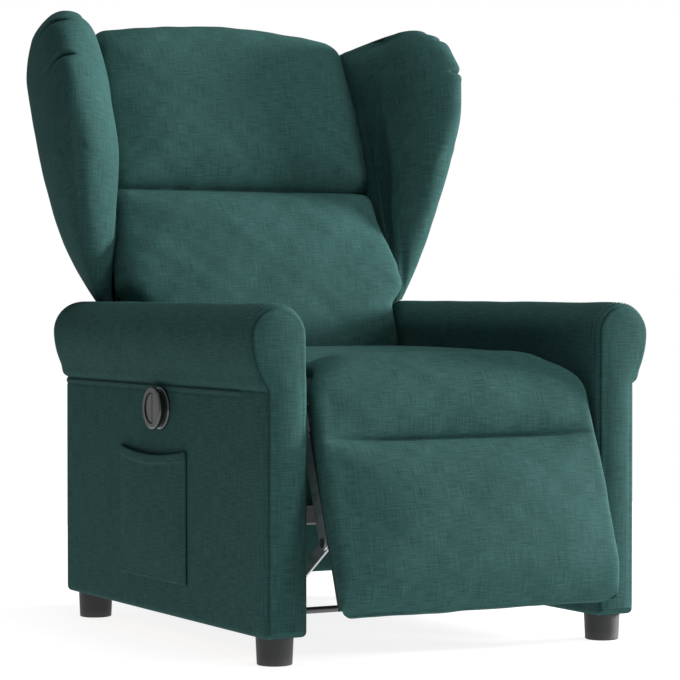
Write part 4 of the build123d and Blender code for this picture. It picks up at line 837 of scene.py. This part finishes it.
SEAT_LOW, SEAT_HIGH = 0.3688, 0.472
SEAT_HALF = (0.2600, 0.2000, 0.0516)
SEAT_REAR, SEAT_REAR_LEAN = 0.172, 0.013
SEAT_CROWN, SEAT_STUFFING = 0.008, 0.008
FOOTREST_HINGE, ROLL_HOLLOW = (-0.3293, 0.401), 0.0885     # (y, z), and the hollow's radius about it
points, flat, quads = soft_block(SEAT_HALF, 0.015, 0.011)
depth = (points[:, 1] + SEAT_HALF[1]) / (2 * SEAT_HALF[1])
height = (points[:, 2] + SEAT_HALF[2]) / (2 * SEAT_HALF[2])
z = SEAT_LOW + height * (SEAT_HIGH - SEAT_LOW)
front = FOOTREST_HINGE[0] + np.sqrt(np.maximum(ROLL_HOLLOW ** 2 - (z - FOOTREST_HINGE[1]) ** 2, 0))
rear = SEAT_REAR + SEAT_REAR_LEAN * height
crown = (1 - (flat[:, 0] / SEAT_HALF[0]) ** 4) * np.sin(math.pi * np.clip(depth, 0, 1)) ** 0.6
z += SEAT_CROWN * crown * (height > 0.5)
points = np.column_stack([points[:, 0], front + depth * (rear - front), z])
seat = sewn_piece("seat_linen", points, quads)
held = (flat[:, 2] < 0.045) | (np.abs(flat[:, 1]) > 0.19)     # all but the top, and its front and rear edges
stuff(seat, np.where(held, 1.0, 0.0), SEAT_STUFFING)
close_cover(seat, "seat", upholstery, replaced=("seat_cushion",))


# Footrest linkage: flat plated-steel cranks on a tube under the seat, couplers, and angle brackets screwed
# to a plywood board that is wrapped in dark dust cloth. The links turn on headed pins.
dress(zinc_steel, "left_crank", "right_crank", "left_coupler", "right_coupler")
dress(zinc_steel, "left_footrest_bracket", "right_footrest_bracket")
dress(pin_steel, "crank_pins", "footrest_pins")
dress(lining, "footrest_board")


# Footrest pad: foam in a boxed linen cover over the board. Its top is a roll that turns about the hinge,
# and a sewn crease crosses its face below the roll, fading out before the sides.
PAD_HALF, PAD_THICK = 0.258, 0.054
PAD_STRAIGHT, PAD_RADIUS, PAD_TILT = 0.353, 0.084, math.radians(-19.2)
PAD_RUN = PAD_STRAIGHT + PAD_RADIUS * math.radians(162)
PAD_CREASE = PAD_STRAIGHT - 0.080
PAD_SWELL, ROLL_SWELL, PAD_STUFFING = 0.016, 0.004, 0.007
PAD_UNDERCUT = 0.032            # how far the lower edge turns under


def ramp(x, low, high):
    t = np.clip((x - low) / (high - low), 0, 1)
    return t * t * (3 - 2 * t)


def on_pad(x, s, t):
    """Point of the pad: s runs from its lower edge up the face and over the roll, t from the face inwards."""
    turn = np.maximum(s - PAD_STRAIGHT, 0) / PAD_RADIUS
    radius = PAD_RADIUS - t
    y = -radius * np.cos(turn)
    z = radius * np.sin(turn) - np.maximum(PAD_STRAIGHT - s, 0)
    return np.column_stack([x, FOOTREST_HINGE[0] + y * math.cos(PAD_TILT) - z * math.sin(PAD_TILT),
                            FOOTREST_HINGE[1] + y * math.sin(PAD_TILT) + z * math.cos(PAD_TILT)])


points, _, quads = soft_block((PAD_HALF, PAD_RUN / 2, PAD_THICK / 2), 0.013, 0.0075)
off = points[:, 1] + PAD_RUN / 2 - PAD_CREASE
s = PAD_CREASE + off * (1 - 0.72 * np.exp(-(off / 0.028) ** 2))     # rows crowd at the crease
share = points[:, 0] / PAD_HALF
depth = (points[:, 2] + PAD_THICK / 2) / PAD_THICK
narrow = ramp(s, PAD_STRAIGHT - 0.015, PAD_STRAIGHT + 0.085)
sides = PAD_HALF + 0.005 * np.sin(math.pi * np.clip(s / PAD_STRAIGHT, 0, 1)) - 0.034 * narrow
sides -= 0.017 * ramp(depth, 0.3, 1.0) * (1 - narrow)
thick = PAD_THICK - 0.012 * ramp(s, PAD_STRAIGHT - 0.05, PAD_STRAIGHT + 0.04)
face = np.clip(1 - depth / 0.45, 0, 1)
lower = np.clip((s + 0.012) / (PAD_CREASE + 0.012), 0, 1)
swell = PAD_SWELL * (1 - np.abs(2 * lower - 1) ** 3.5) * (1 - np.abs(share) ** 2.8)
upper = np.clip((s - PAD_CREASE) / 0.13, 0, 1)
swell += ROLL_SWELL * (1 - np.abs(2 * upper - 1) ** 3) * (1 - share ** 4)
fade = np.clip(1.15 * (1 - np.abs(share) ** 2.6), 0, 1)
pulled = np.abs(s - PAD_CREASE)
dip = 0.010 * np.exp(-pulled / np.where(s > PAD_CREASE, 0.022, 0.009))
slit = 0.014 * np.exp(-pulled / 0.0035)
crease = (dip + slit) * fade
droop = 0.020 * np.abs(share) ** 7 * narrow
under = PAD_UNDERCUT * (1 - np.clip(s / 0.062, 0, 1)) ** 2
t = depth * thick + droop * (1 - depth) + face * (crease - swell + under)
pad = sewn_piece("footrest_linen", on_pad(share * sides, s - 0.004 * (1 - ramp(s, 0, 0.04)), t), quads)
sewn = np.maximum(np.where(depth > 0.6, 1.0, 0.0), np.exp(-((s - PAD_CREASE) / 0.006) ** 2) * fade)
sewn = np.maximum(sewn, np.where(s > PAD_RUN - 0.03, 1.0, 0.95 * (1 - ramp(s, 0.04, 0.11))))
sewn = np.maximum(sewn, 0.85 * ramp(np.abs(share), 0.80, 0.95))
stuff(pad, sewn, PAD_STUFFING)
PAD_AXES = np.array([[1, 0, 0], [0, math.cos(PAD_TILT), math.sin(PAD_TILT)],
                     [0, -math.sin(PAD_TILT), math.cos(PAD_TILT)]])
close_cover(pad, "footrest", upholstery, PAD_AXES,
            replaced=("footrest_pad",), rumple=0.0010)


# Back frame: softwood stiles and rails, wrapped in dust cloth, with elastic webbing across, on steel brackets
# that turn about the hinge behind the seat. Only its wrapped edges show between the covers.
dress(lining, "back_stiles", "back_rails")
dress(zinc_steel, "back_brackets")


def elastic(s):
    place = s.on_object()
    rib = s.make("ShaderNodeTexWave", {"bands_direction": "X"}, {"Vector": place, "Scale": 160.0})
    fibre = place.stretched((900, 900, 90)).noise(1)
    return {"Base Color": (0.5 * rib + 0.5 * fibre).tint((0.015, 0.015, 0.017), (0.075, 0.070, 0.065)),
            "Roughness": 0.7 + 0.15 * fibre, "Normal": rib.bump(0.0004, 0.5)}


dress(finish("webbing", elastic), "back_webbing")


# Back cushion: two stuffed sections, head and lumbar, in one linen cover that is pulled in between them by
# a sewn crease. It is overstuffed, so the head section rolls over the top of the frame.
BACK_DATUM = (0.270, 0.330)
BACK_LEAN = math.radians(20)
BACK_FOOT, BACK_TOP, BACK_CREASE = 0.064, 0.752, 0.435
BACK_HALF_FOOT, BACK_HALF_TOP = 0.262, 0.232
CUSHION_REAR, CUSHION_BLOCK = -0.0385, 0.067     # place of its rear face, and thickness before it is shaped
CUSHION_EDGE, CUSHION_SWELL, CUSHION_STUFFING = 0.058, 0.034, 0.009


def on_back(x, v, w):
    """Point of the back: v runs up its slope, w to its rear."""
    return np.column_stack([x, BACK_DATUM[0] + v * math.sin(BACK_LEAN) + w * math.cos(BACK_LEAN),
                            BACK_DATUM[1] + v * math.cos(BACK_LEAN) - w * math.sin(BACK_LEAN)])


BACK_AXES = np.array([[1, 0, 0], [0, math.cos(BACK_LEAN), -math.sin(BACK_LEAN)],
                      [0, math.sin(BACK_LEAN), math.cos(BACK_LEAN)]])


def back_half_width(v):
    return BACK_HALF_FOOT - (BACK_HALF_FOOT - BACK_HALF_TOP) * (v - BACK_FOOT) / (BACK_TOP - BACK_FOOT)


def back_flare(v):
    """How far the stuffing spreads sideways in front of the frame, most of all just above the arms."""
    return np.interp(v, [0.190, 0.205, 0.222, 0.235, 0.262, 0.300, 0.340, 0.375, 0.435, 0.600, 0.752],
                     [0.002, 0.006, 0.024, 0.034, 0.036, 0.034, 0.028, 0.025, 0.025, 0.028, 0.022])


points, _, quads = soft_block((BACK_HALF_FOOT, (BACK_TOP - BACK_FOOT) / 2, CUSHION_BLOCK / 2), 0.025, 0.0080)
off = points[:, 1] + (BACK_TOP + BACK_FOOT) / 2 - BACK_CREASE
v = BACK_CREASE + off * (1 - 0.75 * np.exp(-(off / 0.030) ** 2))     # rows crowd at the crease
share = points[:, 0] / BACK_HALF_FOOT
depth = (points[:, 2] + CUSHION_BLOCK / 2) / CUSHION_BLOCK
below = np.clip((BACK_CREASE - v) / (BACK_CREASE - BACK_FOOT), 0, 1)
above = np.clip((v - BACK_CREASE) / (BACK_TOP - BACK_CREASE), 0, 1)
tucked = np.clip((below - 0.75) / 0.25, 0, 1) ** 2
lumbar = (1 - np.exp(-below / 0.055)) * (1 - 0.20 * below) * (1 - tucked * 0.6)
head = (1 - 0.5 * np.exp(-above / 0.15) - 0.5 * np.exp(-above / 0.04)) * (1 - 0.55 * above ** 5)
dome = np.where(v < BACK_CREASE, lumbar, head)
side = 1 - np.abs(share) ** np.where(v < BACK_CREASE, 2.6, 4.0)
full = np.where(v < BACK_CREASE, 0.45 + 0.30 * ramp(BACK_CREASE - v, 0.06, 0.20), 0.50)
reach = CUSHION_EDGE + CUSHION_SWELL * dome * (full + (1 - full) * side) - 0.018 * ramp(v, 0.71, 0.755)
reach += 0.012 * ramp(BACK_CREASE - v, 0.04, 0.18) * ramp(v, BACK_FOOT + 0.02, BACK_FOOT + 0.12)
reach -= 0.020 * np.exp(-np.abs(v - BACK_CREASE) / 0.004)
w = CUSHION_REAR - (1 - depth) * reach
crown_top = 0.022 * ramp(v, 0.66, 0.752) * (1 - np.abs(share) ** 1.7)
half_width = back_half_width(v) - 0.001 + back_flare(v) * ramp(1 - depth, 0.05, 0.45)
half_width += 0.0016 * np.sin(v * 2 * math.pi / 0.034) * ramp(-v, -0.33, -0.25) * ramp(v, 0.20, 0.24)
cushion = sewn_piece("back_linen", on_back(share * half_width, v + crown_top, w), quads)
sewn = np.where(depth > 0.75, 1.0, 0.0)
sewn = np.maximum(sewn, np.exp(-((v - BACK_CREASE) / 0.006) ** 2))
sewn = np.maximum(sewn, 0.8 * np.maximum(ramp(np.abs(share), 0.88, 0.98), ramp(v, 0.69, 0.74)))
stuff(cushion, sewn, CUSHION_STUFFING)
close_cover(cushion, "back", upholstery, BACK_AXES,
            replaced=("back_cushion",), rumple=0.0014)


# Back rear panel: a padded board in the cover cloth that closes the back of the frame, thicker at its foot,
# blind-tacked round its edge. A skirt runs down over the lowest rail, and the cloth laps over the top rail.
PANEL_FOOT, PANEL_TOP, RAIL_TOP = 0.004, 0.750, 0.738
PANEL_FRONT, PANEL_BLOCK = -0.0118, 0.019        # place of its front face, and thickness before it is shaped
PANEL_REAR_FOOT, PANEL_REAR_TOP = 0.020, -0.004
PANEL_CROWN, TOP_LAP, SKIRT_HALF = 0.006, 0.0285, 0.2325
points, _, quads = soft_block((BACK_HALF_FOOT, (PANEL_TOP - PANEL_FOOT) / 2, PANEL_BLOCK / 2), 0.0085, 0.012)
v = points[:, 1] + (PANEL_TOP + PANEL_FOOT) / 2
share = points[:, 0] / BACK_HALF_FOOT
depth = (points[:, 2] + PANEL_BLOCK / 2) / PANEL_BLOCK
up = np.clip((v - BACK_FOOT) / (RAIL_TOP - BACK_FOOT), 0, 1)
rear = PANEL_REAR_FOOT - (PANEL_REAR_FOOT - PANEL_REAR_TOP) * up
crown = (1 - share ** 4) * (1 - np.abs(2 * (v - PANEL_FOOT) / (PANEL_TOP - PANEL_FOOT) - 1) ** 4)
w = PANEL_FRONT + depth * (rear - PANEL_FRONT + PANEL_CROWN * crown)
w -= TOP_LAP * (1 - depth) * ramp(v, RAIL_TOP + 0.001, RAIL_TOP + 0.0035)
half_width = SKIRT_HALF - 0.005 * ramp(v, RAIL_TOP, PANEL_TOP)
half_width += (back_half_width(v) - 0.001 - SKIRT_HALF) * ramp(v, BACK_FOOT - 0.006, BACK_FOOT + 0.004)
outer_back = sewn_piece("back_rear_linen", on_back(share * half_width, v, w), quads)
close_cover(outer_back, "back", upholstery, BACK_AXES, replaced=("back_rear_panel",))


# Wings: padded side pieces that stand forward of the back beside the head, each with a flat front border
# sewn to its outer side. The cloth is pleated where it turns over the top of the border.
WING_LEVELS = np.array([0.226, 0.300, 0.375, 0.474, 0.564, 0.640, 0.700, 0.730])
WING_REAR_OUT = np.array([(283, -9), (322, -9), (346, -9), (361, -9),
                          (367, -9), (370, -11), (366, -22), (354, -44)]) / 1000
WING_FRONT_OUT = np.array([(314, -62), (352, -108), (377, -158), (399, -228),
                           (411, -276), (411, -276), (398, -242), (368, -205)]) / 1000
WING_NOSE = np.array([(290, -64), (291, -98), (284, -126), (281, -168),
                      (281, -170), (287, -176), (305, -171), (326, -146)]) / 1000
WING_INNER = np.array([-60, -92, -104, -112, -114, -112, -104, -93]) / 1000
WING_SIDE_SWELL = np.array([4, 7, 11, 15, 14, 14, 16, 24]) / 1000
WING_BORDER_SWELL = np.array([5, 5, 7, 15, 22, 27, 30, 22]) / 1000
WING_HOLLOW = np.array([0, 2, 3, 3, 2, 0, 0, 0]) / 1000
WING_FOOT, WING_TOP = 0.5678, 0.718
WING_MIDDLE = np.array([0.318, -0.125])
WING_ROUND, WING_DEEP, WING_UP = 12, 30, 112
WING_OVER = 6     # rows that turn over the top
WING_PLEATS = (0.690, 0.614)
WING_STUFFING = 0.005


def level_with(v, values):
    """Smooth value at v through the wing's measured levels."""
    slopes = np.gradient(values, WING_LEVELS, axis=0)
    i = np.clip(np.searchsorted(WING_LEVELS, v) - 1, 0, len(WING_LEVELS) - 2)
    gap = WING_LEVELS[i + 1] - WING_LEVELS[i]
    t = np.clip((v - WING_LEVELS[i]) / gap, 0, 1)
    return ((1 + 2 * t) * (1 - t) ** 2 * values[i] + t * (1 - t) ** 2 * gap * slopes[i]
            + t * t * (3 - 2 * t) * values[i + 1] + t * t * (t - 1) * gap * slopes[i + 1])


def bowed(start, end, count, swell):
    """Arc-like line from start to end that swells to the left of its way."""
    t = np.linspace(0, 1, count + 1)[:, None]
    way = end - start
    left = np.array([-way[1], way[0]]) / np.linalg.norm(way)
    return start + t * way + 4 * t * (1 - t) * swell * left


def wing_section(v):
    """Edges of a wing's section at v in (x, w): inner side, outer side, rear and front border."""
    rear, front, nose = level_with(v, WING_REAR_OUT), level_with(v, WING_FRONT_OUT), level_with(v, WING_NOSE)
    side = float(back_half_width(v)) + 0.001
    root = np.array([side + float(back_flare(v)), float(level_with(v, WING_INNER))])
    outer = bowed(rear, front, WING_DEEP, float(level_with(v, WING_SIDE_SWELL)))
    inner = bowed(root, nose, WING_DEEP, float(level_with(v, WING_HOLLOW)))
    corner = np.array([side - 0.003, rear[1] + 0.003])
    back = joined(run(root, corner, WING_ROUND // 2), run(corner, rear, WING_ROUND - WING_ROUND // 2))
    border = bowed(nose, front, WING_ROUND, -float(level_with(v, WING_BORDER_SWELL)))
    turn = np.vstack([border, outer[-2::-1]])
    for _ in range(12):
        turn[1:-1] = (turn[:-2] + 2 * turn[1:-1] + turn[2:]) / 4
    border, outer = turn[:WING_ROUND + 1], turn[:WING_ROUND - 1:-1]
    return inner, outer, back, border


wing_places, wing_quads = shell(WING_ROUND, WING_DEEP, WING_UP)
columns, column = np.unique(wing_places[:, :2], axis=0, return_inverse=True)
column = column.ravel()
levels = np.linspace(0.190, WING_TOP, 220)
spots = np.array([patch(*wing_section(v), columns[:, 0], columns[:, 1]) for v in levels])
rise = BACK_DATUM[1] + levels[:, None] * math.cos(BACK_LEAN) - spots[:, :, 1] * math.sin(BACK_LEAN)
foot = np.array([np.interp(WING_FOOT, rise[:, c], levels) for c in range(len(columns))])
for c in range(len(columns)):
    aside = np.interp(foot[c], levels, spots[:, c, 0]) - ARM_ROLL[0]
    above_roll = math.sqrt(max((WING_FOOT - ARM_ROLL[1]) ** 2 - aside ** 2, 0.025 ** 2))
    foot[c] = np.interp(ARM_ROLL[1] + above_roll, rise[:, c], levels)
foot = foot[column]
a, b, k = wing_places.T
crowd = np.cumsum(1 + 4 * sum(np.exp(-((levels - at) / 0.009) ** 2) for at in WING_PLEATS))
crowd_foot, crowd_top = np.interp(foot, levels, crowd), np.interp(WING_TOP - 0.004, levels, crowd)
v = np.interp(crowd_foot + (crowd_top - crowd_foot) * np.clip(k / (WING_UP - WING_OVER), 0, 1), crowd, levels)
place = (v - levels[0]) / (levels[1] - levels[0])
low = np.clip(place.astype(int), 0, len(levels) - 2)
part = (place - low)[:, None]
xw = (1 - part) * spots[low, column] + part * spots[low + 1, column]
over = np.clip(k - (WING_UP - WING_OVER), 0, None) / WING_OVER * math.pi / 2
xw = WING_MIDDLE + (xw - WING_MIDDLE) * (1 - 0.16 * (1 - np.cos(over)))[:, None]
v += 0.010 * np.sin(over)
dome = (1 - (2 * a / WING_ROUND - 1) ** 2) * (1 - (2 * b / WING_DEEP - 1) ** 2)
v += np.where(k == WING_UP, 0.007 * dome, 0)
pleat = sum(np.exp(-np.abs(v - at) / 0.0030) for at in WING_PLEATS)
plump = sum(np.exp(-((v - at) / 0.020) ** 2) for at in WING_PLEATS)
on_fold = ramp(b, WING_DEEP - 13, WING_DEEP - 3) * ramp(a, WING_ROUND - 2, WING_ROUND)
xw += ((0.003 * plump - 0.018 * pleat) * on_fold)[:, None] * (0.85, -0.53)
wing = sewn_piece("right_wing_linen", on_back(xw[:, 0], v, xw[:, 1]), wing_quads)
edge = ((b == WING_DEEP) & (a == 0)) | (b < 2) | (k < 3) | (k > WING_UP - 2)
sewn = np.maximum(np.where(edge, 0.9, 0.0), np.clip(pleat, 0, 1) * ramp(b, WING_DEEP - 13, WING_DEEP - 7))
stuff(wing, sewn, WING_STUFFING)
mirrored = sewn_piece("left_wing_linen", points_of(wing.data) * (-1, 1, 1), wing_quads)
for name, cover in (("right", wing), ("left", mirrored)):
    close_cover(cover, "back", upholstery, BACK_AXES,
                replaced=(f"{name}_wing",), rumple=0.0008)
